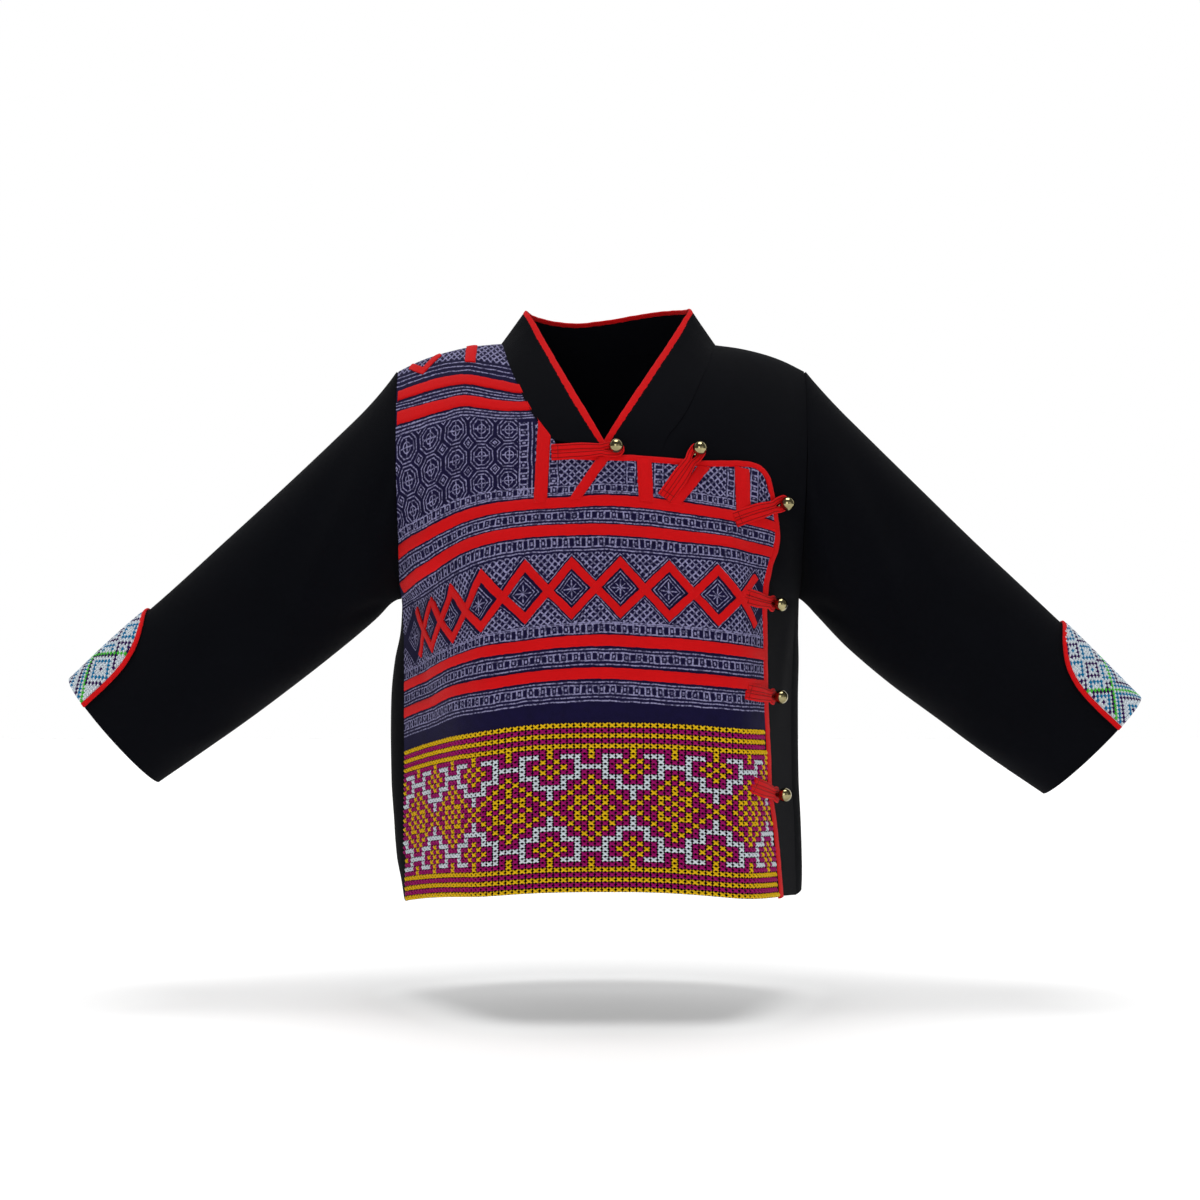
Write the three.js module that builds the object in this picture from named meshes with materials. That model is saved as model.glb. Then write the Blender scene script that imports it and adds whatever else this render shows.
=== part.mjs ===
// A child's side-closing jacket with a batik front, an embroidered hem band and ball buttons, filled out as
// if worn. Millimetres: x runs to the wearer's left, y to the back and z up. The origin is the middle of the
// neck at the height where the collar meets the shoulders, which is where a wearer's shoulders carry the
// jacket.
import * as THREE from 'three';

// Cloth and seams
const CLOTH = 1.5; // wall of the body and sleeve cloth
const COLLAR_CLOTH = 2.0; // two layers of cloth and a stiffener
const BINDING_CLOTH = 3.0; // bias binding folded round an edge
const SEAM_GAP = 0.3; // space between two pieces that are sewn together
const LAP = 2.8; // how far the top front stands off the front under it
const BAND_CLOTH = 1.2; // how far the embroidery stands above the middle of its cloth
const OVERLAP_BINDING_WIDTH = 4.5;
const NECK_BINDING_WIDTH = 5.0;
const COLLAR_RISE = 1.7; // its sewing line runs this far above the neckline of the fronts
const COLLAR_FOOT = 0.2; // the collar's cloth starts this far from its sewing line

// Body
const ARMPIT = -189; // height of the bottom of the armholes
const SEAM_Y = 3; // the side and shoulder seams lie in this plane
const ARMHOLE_DEPTH = 56; // half the armhole, front to back
const ARMHOLE_SHAPE = 0.75; // under 1 rounds the top and bottom of the armhole
const NECK_X = 3; // the neck opening sits a little to the wearer's left
const NECK_HALF_WIDTH = 79;
const NECK_BACK = 58; // y of the middle of the back neck
const NECK_Z = 1;
const CORNER_SOFTNESS = 0.05; // how gently the front turns to the side, as a share of the half width
const FRONT_CROWN = 0.06; // how much of the front's depth is spread over the flat middle

// Sections of the body below the armholes. left and right are the half widths at the side seams and the
// swells how far the back goes past them, front and back are the depths at the centre, and the corners are
// the shares of the half width where the front turns to the side.
const BODY_SECTIONS = rowsUnder(
  ['z', 'right', 'rightSwell', 'left', 'leftSwell', 'front', 'back', 'rightCorner', 'leftCorner'],
  [
    [-425, 148, 1, 143.5, 5, -104, 88, 0.58, 0.72],
    [-403, 149.5, 3.5, 143.5, 6.5, -105, 88, 0.58, 0.72],
    [-385, 149.5, 7.5, 143, 7, -106, 88, 0.58, 0.71],
    [-355, 149.5, 10, 142, 7, -108, 87, 0.58, 0.7],
    [-325, 149.5, 12, 140.5, 7, -109, 86, 0.58, 0.7],
    [-265, 149.5, 12, 140, 7, -110, 84, 0.58, 0.7],
    [-236, 149.5, 9, 141, 6.5, -109.5, 85, 0.585, 0.7],
    [-215, 149.8, 4, 142, 5, -109, 87, 0.59, 0.7],
    [ARMPIT, 150.6, 1, 145, 2, -107, 90, 0.6, 0.71],
  ],
);

// Half widths up the armholes, as a share of the way from armpit to shoulder.
const ARMHOLE_SECTIONS = [
  { share: 0, right: 150.6, left: 145 },
  { share: 0.3, right: 149.8, left: 145.2 },
  { share: 0.65, right: 151.2, left: 147.2 },
  { share: 1, right: 154.2, left: 150 },
];

// The shoulder seam's height, by the share of the half width from the centre.
const SHOULDER_LINE = [
  { share: 0, z: NECK_Z },
  { share: 0.5, z: NECK_Z },
  { share: 0.57, z: 0 },
  { share: 0.68, z: -2.3 },
  { share: 0.8, z: -6.6 },
  { share: 0.9, z: -12 },
  { share: 1, z: -19.5 },
];

// The cloth's rows sink towards the side seams: how far at each seam, by height.
const ROW_SAG = [
  { z: -400, right: 22, left: 17.5 },
  { z: -280, right: 30, left: 14 },
  { z: -220, right: 34, left: 18 },
  { z: -180, right: 36, left: 21 },
  { z: -120, right: 28, left: 26 },
  { z: -50, right: 10, left: 10 },
];
const SAG_POWER = 2.6;

// Soft folds of the body: where each is, its half width and half length, its lean from upright and its
// height.
const BODY_FOLDS = [
  { x: -118, z: -215, halfWidth: 16, halfLength: 60, lean: 10, height: 4 },
  { x: -128, z: -150, halfWidth: 12, halfLength: 38, lean: -28, height: 3.5 },
  { x: 104, z: -168, halfWidth: 9, halfLength: 34, lean: 8, height: -3 },
  { x: 124, z: -150, halfWidth: 11, halfLength: 36, lean: 22, height: 3 },
  { x: -96, z: -40, halfWidth: 14, halfLength: 30, lean: 0, height: 2.5 },
  { x: 60, z: -345, halfWidth: 18, halfLength: 60, lean: 0, height: 1.5 },
];
const BACK_FOLDS = [
  { x: -112, z: -200, halfWidth: 17, halfLength: 62, lean: 14, height: 4 },
  { x: 108, z: -205, halfWidth: 16, halfLength: 66, lean: -12, height: 4 },
  { x: -60, z: -300, halfWidth: 20, halfLength: 85, lean: 3, height: 3 },
  { x: 34, z: -310, halfWidth: 22, halfLength: 80, lean: -4, height: 2.5 },
];

// Neckline on each front, from the shoulder down: where the collar is sewn on.
const NECKLINE = [
  { fromMiddle: 79, z: NECK_Z },
  { fromMiddle: 68, z: -27 },
  { fromMiddle: 56, z: -53 },
  { fromMiddle: 49.6, z: -63.5 },
  { fromMiddle: 41, z: -75 },
  { fromMiddle: 37, z: -80.5 },
  { fromMiddle: 34, z: -97 },
];
const NECKLINE_END = NECKLINE.at(-1).fromMiddle;

// Top front: its upper edge and its closing edge, binding included.
const OVERLAP_TOP = [
  { x: -31, z: -86.4 },
  { x: -18, z: -88.5 },
  { x: 20, z: -89.5 },
  { x: 66, z: -92.5 },
  { x: 102, z: -92.5 },
  { x: 110, z: -95 },
  { x: 116, z: -101 },
  { x: 119.5, z: -113 },
];
const OVERLAP_EDGE = [
  { z: -425, x: 129.5 },
  { z: -405, x: 128 },
  { z: -379, x: 125.5 },
  { z: -353, x: 122.5 },
  { z: -328, x: 118.5 },
  { z: -303, x: 117.5 },
  { z: -270, x: 115.5 },
  { z: -220, x: 114.5 },
  { z: -180, x: 115.5 },
  { z: -147, x: 121.4 },
  { z: -113, x: 119.5 },
];
const FRONT_HEM = -394.5; // at the centre, before the rows sink
const BACK_HEM = -399; // at the centre
const BAND_TOP = -275.8; // seam between the batik and the embroidered band
const UNDERLAP_TOP = -98; // the hidden part starts under the collar's end

// One half of the collar, from its end up to the shoulder: where its sewn edge is on the neckline, and its
// free edge. x is counted from the middle of the neck, and underEdgeX is the free edge of the half that lies
// under.
const COLLAR_HALF = [
  { seamX: 37, edgeX: -1.5, underEdgeX: -8, edgeY: -99.2, edgeZ: -86 },
  { seamX: 45.5, edgeX: 12, underEdgeX: 6, edgeY: -87, edgeZ: -62 },
  { seamX: 57, edgeX: 29.5, underEdgeX: 25.5, edgeY: -61, edgeZ: -31 },
  { seamX: 68, edgeX: 44, underEdgeX: 42.5, edgeY: -33, edgeZ: -4 },
  { seamX: 76, edgeX: 55, underEdgeX: 55, edgeY: -12, edgeZ: 17 },
];
const COLLAR_STATIONS = [37, 40.5, 45.5, 51.5, 57, 62.5, 68, 72, 76]; // seamX where the sewn edge is laid out
const COLLAR_EDGE_HALF_WIDTH = 61;
// Height of the free edge round the back of the neck, by degrees from the wearer's left shoulder to the right
// one.
const COLLAR_BACK = [
  { degrees: 180, edgeZ: 26.5 },
  { degrees: 158, edgeZ: 25.5 },
  { degrees: 135, edgeZ: 23.5 },
  { degrees: 112, edgeZ: 23 },
  { degrees: 90, edgeZ: 26 },
  { degrees: 68, edgeZ: 29.5 },
  { degrees: 45, edgeZ: 31 },
  { degrees: 22, edgeZ: 29.5 },
  { degrees: 0, edgeZ: 27.5 },
];
const COLLAR_EDGE_BACK = 50; // y of the middle of the free edge at the back
const COLLAR_EDGE_FRONT = 2; // y of the free edge above the shoulders

// Sleeve sections from the armhole to the cuff: the top and bottom point of each, half the depth, the
// middle's y.
const SLEEVE_SECTIONS = {
  right: [
    { topX: -154.5, topZ: -19.5, bottomX: -151.5, bottomZ: -189, halfDepth: 56, y: 3 },
    { topX: -172, topZ: -42, bottomX: -159, bottomZ: -191.5, halfDepth: 55, y: 3 },
    { topX: -204.5, topZ: -74, bottomX: -172, bottomZ: -204.5, halfDepth: 52, y: 2 },
    { topX: -242.5, topZ: -110, bottomX: -193, bottomZ: -222.5, halfDepth: 47, y: 0 },
    { topX: -283, topZ: -147.5, bottomX: -224.5, bottomZ: -247.5, halfDepth: 42, y: -3 },
    { topX: -323.5, topZ: -185, bottomX: -259, bottomZ: -274, halfDepth: 36, y: -6 },
    { topX: -362.5, topZ: -219.5, bottomX: -296, bottomZ: -300.5, halfDepth: 31, y: -9 },
    { topX: -396.3, topZ: -252, bottomX: -332, bottomZ: -325.5, halfDepth: 27, y: -11 },
  ],
  left: [
    { topX: 150.5, topZ: -19.5, bottomX: 147, bottomZ: -189, halfDepth: 56, y: 3 },
    { topX: 169.5, topZ: -41.5, bottomX: 152, bottomZ: -193, halfDepth: 55, y: 3 },
    { topX: 201, topZ: -73, bottomX: 162.5, bottomZ: -204, halfDepth: 52, y: 2 },
    { topX: 238.5, topZ: -110, bottomX: 183.5, bottomZ: -226, halfDepth: 47, y: 0 },
    { topX: 276.5, topZ: -147.5, bottomX: 215.5, bottomZ: -253, halfDepth: 42, y: -3 },
    { topX: 315, topZ: -184, bottomX: 251, bottomZ: -279.5, halfDepth: 36, y: -6 },
    { topX: 354, topZ: -221.5, bottomX: 288, bottomZ: -307, halfDepth: 31, y: -9 },
    { topX: 397.5, topZ: -265.5, bottomX: 327.5, bottomZ: -334, halfDepth: 27, y: -11 },
  ],
};
// The sleeve's first ring stands this far out from the body's armhole edge, at the armpit and at the
// shoulder.
const SLEEVE_GAP = { armpit: 2.2, shoulder: 1 };

// Soft folds of a sleeve: station along it, angle round it from the top towards the front, half sizes and
// height.
const SLEEVE_FOLDS = [
  { along: 1.6, angle: 118, halfAlong: 1.1, halfAngle: 20, lean: 9, height: 4 },
  { along: 2.6, angle: 70, halfAlong: 1.2, halfAngle: 16, lean: 14, height: -3 },
  { along: 4.3, angle: 140, halfAlong: 0.8, halfAngle: 24, lean: -12, height: 3 },
  { along: 3.4, angle: 232, halfAlong: 1.3, halfAngle: 22, lean: -10, height: 3.5 },
  { along: 1.4, angle: 250, halfAlong: 1.0, halfAngle: 20, lean: 8, height: 3.5 },
];

// Embroidered cuff corner: it runs this far up the sleeve's upper edge and covers this much to each side of
// it.
const CUFF_STRETCH = { right: 76, left: 84 };
const CUFF_HALF_ANGLE = 64;
const CUFF_TURN = { right: -5, left: 3 }; // degrees from the top of the sleeve towards the front
const CUFF_THICK = 1.2;
const CUFF_FLOOR = CLOTH / 2 + 0.7; // its underside above the middle of the sleeve's cloth
const PIPING_WIDTH = 4;
const PIPING_THICK = 1.8;

// Ball buttons: where each stands and how high its foot is over the middle of the lower cloth, and the sewn
// end of the loop that holds it. The loop's middle is this high over the cloth at the button and at its sewn
// end.
const BUTTONS = [
  { x: 8, z: -86.2, seat: 2.1, level: 5.4, sewnLevel: 5.4, loopX: -37, loopZ: -88 },
  { x: 64.5, z: -87, seat: 1.5, level: 5.8, sewnLevel: 4.9, loopX: 41.6, loopZ: -120 },
  { x: 124.2, z: -120.8, seat: 1.5, level: 6.1, sewnLevel: 4.9, loopX: 90.5, loopZ: -134.5 },
  { x: 116.4, z: -192.6, seat: 1.5, level: 5.8, sewnLevel: 4.9, loopX: 97, loopZ: -187.5 },
  { x: 116.7, z: -260.2, seat: 1.5, level: 5.8, sewnLevel: 4.9, loopX: 97, loopZ: -254.5 },
  { x: 120, z: -332, seat: 1.5, level: 5.8, sewnLevel: 5.3, loopX: 101, loopZ: -321 },
];
const BALL_RADIUS = 5;
const BALL_HEIGHT = 11.7; // its centre above the middle of the cloth
const SHANK_RADIUS = 1.2;
const FOOT_RADIUS = 2;
const LOOP_THICK = 1.3;
const LOOP_CORD = 4; // width of the loop's band in its eye
const LOOP_TAB = 6.2; // width of the band in each leg at the sewn end
const LOOP_EYE = 3.7; // radius of the eye's middle line
const LOOP_EYE_START = 0.86; // where the legs end, as a share of the way to the button

const lerp = (a, b, share) => a + (b - a) * share;
const clamp = (value, low, high) => Math.min(high, Math.max(low, value));
const smooth = (share) => {
  const s = clamp(share, 0, 1);
  return s * s * (3 - 2 * s);
};
const radians = (degrees) => (degrees * Math.PI) / 180;

// One object per row, its values under the column names.
function rowsUnder(names, rows) {
  return rows.map((row) => Object.fromEntries(names.map((name, k) => [name, row[k]])));
}

// Reads a column of a table at a place along its key column, on a smooth curve through the rows.
function read(table, key, at, column) {
  const rising = table[0][key] < table[table.length - 1][key];
  const rows = rising ? table : [...table].reverse();
  const place = clamp(at, rows[0][key], rows[rows.length - 1][key]);
  let i = 0;
  while (i < rows.length - 2 && place > rows[i + 1][key]) i += 1;
  const slope = (k) => {
    const a = rows[Math.max(k - 1, 0)];
    const b = rows[Math.min(k + 1, rows.length - 1)];
    return (b[column] - a[column]) / (b[key] - a[key]);
  };
  const span = rows[i + 1][key] - rows[i][key];
  const s = (place - rows[i][key]) / span;
  const s2 = s * s;
  const s3 = s2 * s;
  return (
    (2 * s3 - 3 * s2 + 1) * rows[i][column] +
    (s3 - 2 * s2 + s) * span * slope(i) +
    (3 * s2 - 2 * s3) * rows[i + 1][column] +
    (s3 - s2) * span * slope(i + 1)
  );
}

// A fold is a soft ridge: full height along its middle, fading over its half width and half length.
function foldHeight(folds, x, z) {
  let height = 0;
  for (const fold of folds) {
    const lean = radians(fold.lean);
    const across = (x - fold.x) * Math.cos(lean) + (z - fold.z) * Math.sin(lean);
    const along = -(x - fold.x) * Math.sin(lean) + (z - fold.z) * Math.cos(lean);
    height += fold.height * Math.exp(-((across / fold.halfWidth) ** 2) - (along / fold.halfLength) ** 2);
  }
  return height;
}

const sideOf = (x) => (x < 0 ? 'right' : 'left'); // the wearer's

// Where a point of the body lies: its share of the half width, and above the armpit its share up the armhole.
function placeOnBody(x, z) {
  const side = sideOf(x);
  if (z <= ARMPIT) {
    return { side, share: clamp(Math.abs(x) / read(BODY_SECTIONS, 'z', z, side), 0, 1), up: 0 };
  }
  let up = clamp((z - ARMPIT) / (NECK_Z - ARMPIT), 0, 1);
  let share = 0;
  for (let turn = 0; turn < 3; turn += 1) {
    share = clamp(Math.abs(x) / read(ARMHOLE_SECTIONS, 'share', up, side), 0, 1);
    up = clamp((z - ARMPIT) / (read(SHOULDER_LINE, 'share', share, 'z') - ARMPIT), 0, 1);
  }
  return { side, share, up };
}

const armholeDepth = (up) => ARMHOLE_DEPTH * Math.sin(Math.PI * clamp(up, 0, 1)) ** ARMHOLE_SHAPE;

const halfWidth = (side, z, up) =>
  up > 0 ? read(ARMHOLE_SECTIONS, 'share', up, side) : read(BODY_SECTIONS, 'z', Math.min(z, ARMPIT), side);

// Depth of the front between the seam (0) and the centre (1): flat across the chest, turning at the corner
// and then running straight back to the seam.
function frontShape(share, corner) {
  const turn = (s) => CORNER_SOFTNESS * Math.log(1 + Math.exp((s - corner) / CORNER_SOFTNESS));
  return 1 - FRONT_CROWN * share * share - (1 - FRONT_CROWN) * (turn(share) / turn(1));
}

const crownWidth = (x) => read(ARMHOLE_SECTIONS, 'share', 1, sideOf(x));

const shoulderHeight = (x) => read(SHOULDER_LINE, 'share', Math.abs(x) / crownWidth(x), 'z');

const necklineHeight = (x) => read(NECKLINE, 'fromMiddle', Math.abs(x - NECK_X), 'z');

// The front of the body as a depth over (x, z).
function frontDepth(x, z) {
  const { side, share, up } = placeOnBody(x, z);
  const low = Math.min(z, ARMPIT);
  const bodyShape = frontShape(share, read(BODY_SECTIONS, 'z', low, `${side}Corner`));
  const centre = read(BODY_SECTIONS, 'z', low, 'front');
  if (up === 0) return lerp(SEAM_Y, centre, bodyShape);
  const edge = SEAM_Y - armholeDepth(up);
  const middle = lerp(SEAM_Y, centre, (1 - up ** 3) ** 0.6);
  const chestShape = 1 - share ** lerp(2.6, 1.7, up);
  return lerp(edge, middle, lerp(bodyShape, chestShape, smooth(up / 0.4)));
}

// The outward direction of the front, taken a little way in from its edges.
function frontNormal(x, z) {
  const step = 2;
  const inside = Math.sign(x) * Math.min(Math.abs(x), 0.965 * halfWidth(sideOf(x), z, 0));
  const height = Math.min(z, shoulderHeight(inside) - step - 1);
  const slopeX = (frontDepth(inside + step, height) - frontDepth(inside - step, height)) / (2 * step);
  const slopeZ = (frontDepth(inside, height + step) - frontDepth(inside, height - step)) / (2 * step);
  return new THREE.Vector3(slopeX, -1, clamp(slopeZ, -1.2, 3)).normalize();
}

// A point of the front, lifted off the middle of its cloth. On the side and shoulder seams it is lifted
// within the plane of the seam, so that the two pieces meet square.
function onFront(x, z, lift, onSeam = false) {
  const normal = frontNormal(x, z);
  if (onSeam) normal.setY(0).normalize();
  const point = new THREE.Vector3(x, frontDepth(x, z) - (onSeam ? SEAM_GAP / 2 : 0), z);
  return point.addScaledVector(normal, lift + foldHeight(BODY_FOLDS, x, z));
}

// How far a row of the cloth has sunk at x.
function rowSag(x, z) {
  const { side, share } = placeOnBody(x, z);
  return read(ROW_SAG, 'z', z, side) * share ** SAG_POWER;
}

// Height of the cloth row that is at the given height at the centre.
function rowHeight(x, row) {
  let z = row;
  for (let turn = 0; turn < 4; turn += 1) z = row - rowSag(x, z);
  return z;
}

const overlapLift = (x) => LAP * smooth((x + 80) / 55);

// A closed wall from two grids of points, rows by columns. Where wrap is set the last column joins the first.
function wallGeometry(outer, inner, wrap = false) {
  const rows = outer.length;
  const columns = outer[0].length;
  const positions = [];
  for (const p of [outer, inner].flat(2)) positions.push(p.x, p.y, p.z);
  const at = (layer, r, c) => layer * rows * columns + r * columns + (c % columns);
  const triangles = [];
  const quad = (a, b, c, d) => triangles.push(a, b, c, a, c, d);
  const lastColumn = wrap ? columns : columns - 1;
  for (let r = 0; r < rows - 1; r += 1) {
    for (let c = 0; c < lastColumn; c += 1) {
      quad(at(0, r, c), at(0, r, c + 1), at(0, r + 1, c + 1), at(0, r + 1, c));
      quad(at(1, r, c), at(1, r + 1, c), at(1, r + 1, c + 1), at(1, r, c + 1));
    }
  }
  for (let c = 0; c < lastColumn; c += 1) {
    quad(at(0, 0, c), at(1, 0, c), at(1, 0, c + 1), at(0, 0, c + 1));
    quad(at(0, rows - 1, c), at(0, rows - 1, c + 1), at(1, rows - 1, c + 1), at(1, rows - 1, c));
  }
  if (!wrap) {
    for (let r = 0; r < rows - 1; r += 1) {
      quad(at(0, r, 0), at(0, r + 1, 0), at(1, r + 1, 0), at(1, r, 0));
      const end = columns - 1;
      quad(at(0, r, end), at(1, r, end), at(1, r + 1, end), at(0, r + 1, end));
    }
  }
  const geometry = new THREE.BufferGeometry();
  geometry.setAttribute('position', new THREE.Float32BufferAttribute(positions, 3));
  geometry.setIndex(triangles);
  return facingOut(geometry);
}

// Turns a closed geometry's faces outwards if its signed volume is negative.
function facingOut(geometry) {
  const p = geometry.attributes.position;
  const index = geometry.index.array;
  const corner = (k) => new THREE.Vector3().fromBufferAttribute(p, index[k]);
  let volume = 0;
  for (let k = 0; k < index.length; k += 3) volume += corner(k).dot(corner(k + 1).cross(corner(k + 2)));
  if (volume < 0) {
    for (let k = 0; k < index.length; k += 3) [index[k + 1], index[k + 2]] = [index[k + 2], index[k + 1]];
  }
  geometry.computeVertexNormals();
  return geometry;
}

const steps = (from, to, count) => Array.from({ length: count + 1 }, (_, k) => lerp(from, to, k / count));
const grid = (rows, columns, point) => rows.map((row) => columns.map((column) => point(column, row)));

const group = new THREE.Group();
const materials = {
  blackCloth: { color: 0x07080c, roughness: 0.95 },
  batik: { color: 0x2b2a55, roughness: 0.9 },
  embroidery: { color: 0x7c1c55, roughness: 0.85 },
  cuffEmbroidery: { color: 0x9fb6dc, roughness: 0.85 },
  redCloth: { color: 0xb81014, roughness: 0.8 },
  brass: { color: 0xb7a67c, roughness: 0.25, metalness: 1 },
};

function addPiece(name, geometry, material) {
  const mesh = new THREE.Mesh(geometry, new THREE.MeshStandardMaterial(materials[material]));
  mesh.name = name;
  group.add(mesh);
  return mesh;
}

// Shares of the half width where the front's columns stand, closer together round the corners.
const RIGHT_COLUMNS = [
  1, 0.97, 0.92, 0.86, 0.8, 0.74, 0.69, 0.65, 0.61, 0.57, 0.53, 0.494, 0.45, 0.41, 0.37, 0.34, 0.31, 0.28, 0.2525,
  0.236, 0.2155, 0.1,
];
const LEFT_COLUMNS = [0.14, 0.28, 0.4, 0.5];
const LEFT_UNDER_COLUMNS = [0.14, 0.249, 0.262, 0.284, 0.305, 0.34, 0.38, 0.42, 0.46, 0.5, 0.546];
const LEFT_CORNER_COLUMNS = [0.58, 0.63, 0.67, 0.71, 0.75]; // in both fronts, so that they lie evenly
const LEFT_EDGE_COLUMNS = [0.83, 0.92, 1]; // up to the top front's edge
const LEFT_OUTER_COLUMNS = [0.8, 0.86, 0.92, 0.97, 1]; // beyond the top front's edge

// Where a column stands at a height. Beyond its last common column the top front closes up to its own edge.
function columnPlace(column, z, edge) {
  if (column === 0) return 0;
  const side = sideOf(column);
  const { up } = placeOnBody(side === 'right' ? -150 : 145, z);
  const width = halfWidth(side, z, up) - (Math.abs(column) === 1 ? SEAM_GAP : 0);
  const last = LEFT_CORNER_COLUMNS.at(-1);
  if (column <= last || !edge) return column * width;
  return lerp(last * width, edge(z), (column - last) / (1 - last));
}

// A panel of the front, by columns between the heights that bottom and top give at x.
function frontPanel(columns, rowCount, { edge, bottom, top, lift, inner, outer }) {
  const point = (column, up, offset) => {
    let x = column * 150;
    let z = 0;
    for (let turn = 0; turn < 6; turn += 1) {
      z = lerp(bottom(x), top(x), up);
      x = columnPlace(column, z, edge);
    }
    const sideSeam = (column === -1 || (column === 1 && !edge)) && z <= ARMPIT;
    const shoulderSeam = up === 1 && z > NECKLINE[1].z && Math.abs(x - NECK_X) > NECK_HALF_WIDTH - 1;
    return onFront(x, z, lift(x) + offset, sideSeam || shoulderSeam);
  };
  const rows = steps(0, 1, rowCount);
  return wallGeometry(
    grid(rows, columns, (column, up) => point(column, up, outer)),
    grid(rows, columns, (column, up) => point(column, up, inner)),
  );
}

// Top of the batik: the shoulder, then the neckline, then the bound upper edge.
function overlapTopHeight(x) {
  if (x < NECK_X - NECK_HALF_WIDTH) return shoulderHeight(x);
  const atBinding = OVERLAP_TOP[0].x - 1;
  const aroundCorner = 3.5 * smooth((x - 85) / 20);
  const edge = read(OVERLAP_TOP, 'x', Math.max(x, atBinding) + aroundCorner, 'z');
  const bound = edge - OVERLAP_BINDING_WIDTH - 4 * SEAM_GAP;
  const open = necklineHeight(Math.min(x, atBinding - 3.5)) - SEAM_GAP;
  return lerp(open, bound, clamp((x - atBinding + 3.5) / 3, 0, 1));
}

const overlapRight = (z) => read(OVERLAP_EDGE, 'z', z, 'x') - OVERLAP_BINDING_WIDTH;

function buildFronts() {
  const rightColumns = RIGHT_COLUMNS.map((share) => -share);
  const columns = [...rightColumns, 0, ...LEFT_COLUMNS, ...LEFT_CORNER_COLUMNS, ...LEFT_EDGE_COLUMNS];
  const bandTop = (x) => rowHeight(x, BAND_TOP);
  addPiece(
    'front_batik',
    frontPanel(columns, 16, {
      edge: overlapRight,
      bottom: (x) => bandTop(x) + SEAM_GAP,
      top: overlapTopHeight,
      lift: overlapLift,
      inner: -CLOTH / 2,
      outer: CLOTH / 2,
    }),
    'batik',
  );
  addPiece(
    'embroidered_band',
    frontPanel(columns, 5, {
      edge: overlapRight,
      bottom: (x) => rowHeight(x, FRONT_HEM),
      top: bandTop,
      lift: overlapLift,
      inner: -CLOTH / 2,
      outer: BAND_CLOTH,
    }),
    'embroidery',
  );
}

// The front that lies under: plain cloth from the wearer's left seam to a hidden edge beyond the centre.
function buildUnderlap() {
  const columns = [-0.07, 0, ...LEFT_UNDER_COLUMNS, ...LEFT_CORNER_COLUMNS, ...LEFT_OUTER_COLUMNS];
  const top = (x) => {
    if (x > NECK_X + NECK_HALF_WIDTH) return shoulderHeight(x);
    return x > NECK_X + NECKLINE_END ? necklineHeight(x) - SEAM_GAP : UNDERLAP_TOP;
  };
  addPiece(
    'front_underlap',
    frontPanel(columns, 20, {
      edge: null,
      bottom: (x) => rowHeight(x, FRONT_HEM),
      top,
      lift: () => 0,
      inner: -CLOTH / 2,
      outer: CLOTH / 2,
    }),
    'blackCloth',
  );
}

// How far round the back ring its ends are, where it swells past the seams and where it does not.
function backSweep(side, z, up) {
  const width = halfWidth(side, z, up);
  const swell = lerp(read(BODY_SECTIONS, 'z', Math.min(z, ARMPIT), `${side}Swell`), 0, smooth(up / 0.2));
  return Math.PI - Math.asin(width / (width + swell)) - radians(12) * smooth(up / 0.2);
}

// The back of the body. round runs from the wearer's right seam (-1) to the left seam (1), z is a height
// below the armpit, and up the share from the armpit to the shoulder or neck seam.
function backPlace(round, z, up) {
  const side = sideOf(round);
  const sweep = backSweep(side, z, up);
  const turn = sweep * Math.abs(round);
  const width = halfWidth(side, z, up) - SEAM_GAP;
  const x = (Math.sign(round) * width * Math.sin(turn)) / Math.sin(sweep);
  const ring = (Math.cos(turn) - Math.cos(sweep)) / (1 - Math.cos(sweep));
  const back = read(BODY_SECTIONS, 'z', Math.min(z, ARMPIT), 'back');
  if (up === 0) return new THREE.Vector3(x, lerp(SEAM_Y, back, ring), z);
  const inNeck = clamp(1 - ((x - NECK_X) / NECK_HALF_WIDTH) ** 2, 0, 1) ** 0.5;
  const shape = lerp(ring, inNeck, up ** 6);
  const centre = lerp(back, NECK_BACK, up ** 3);
  const top = inNeck > 0 ? NECK_Z : shoulderHeight(x);
  return new THREE.Vector3(x, lerp(SEAM_Y + armholeDepth(up), centre, shape), lerp(ARMPIT, top, up));
}

function backHem(round) {
  const atSeam = rowHeight(round < 0 ? -150 : 144, FRONT_HEM);
  return lerp(BACK_HEM, atSeam, Math.abs(round) ** 1.5);
}

// A point of the back by its level, from the hem (0) through the armpit (1) to the shoulder seam (2).
function onBack(round, level, lift) {
  const at = (r, l) => (l <= 1 ? backPlace(r, lerp(backHem(r), ARMPIT, l), 0) : backPlace(r, ARMPIT, l - 1));
  const step = 0.012;
  const r = clamp(round, -1 + step, 1 - step);
  const l = clamp(level, step, 2 - 3 * step);
  const across = at(r + step, l).sub(at(r - step, l));
  const upward = at(r, l + step).sub(at(r, l - step));
  const normal = across.cross(upward).negate().normalize();
  const place = at(round, level);
  const onShoulder = level === 2 && Math.abs(place.x - NECK_X) > NECK_HALF_WIDTH - 1;
  if (onShoulder || (Math.abs(round) === 1 && level <= 1)) {
    normal.setY(0).normalize();
    place.y += SEAM_GAP / 2;
  }
  return place.addScaledVector(normal, lift + foldHeight(BACK_FOLDS, place.x, place.z));
}

// How far round the back a place on its neck edge is.
function roundAtNeck(x) {
  const side = sideOf(x);
  const sweep = backSweep(side, ARMPIT, 1);
  return (Math.sign(x) * Math.asin((Math.abs(x) * Math.sin(sweep)) / halfWidth(side, ARMPIT, 1))) / sweep;
}

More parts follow.
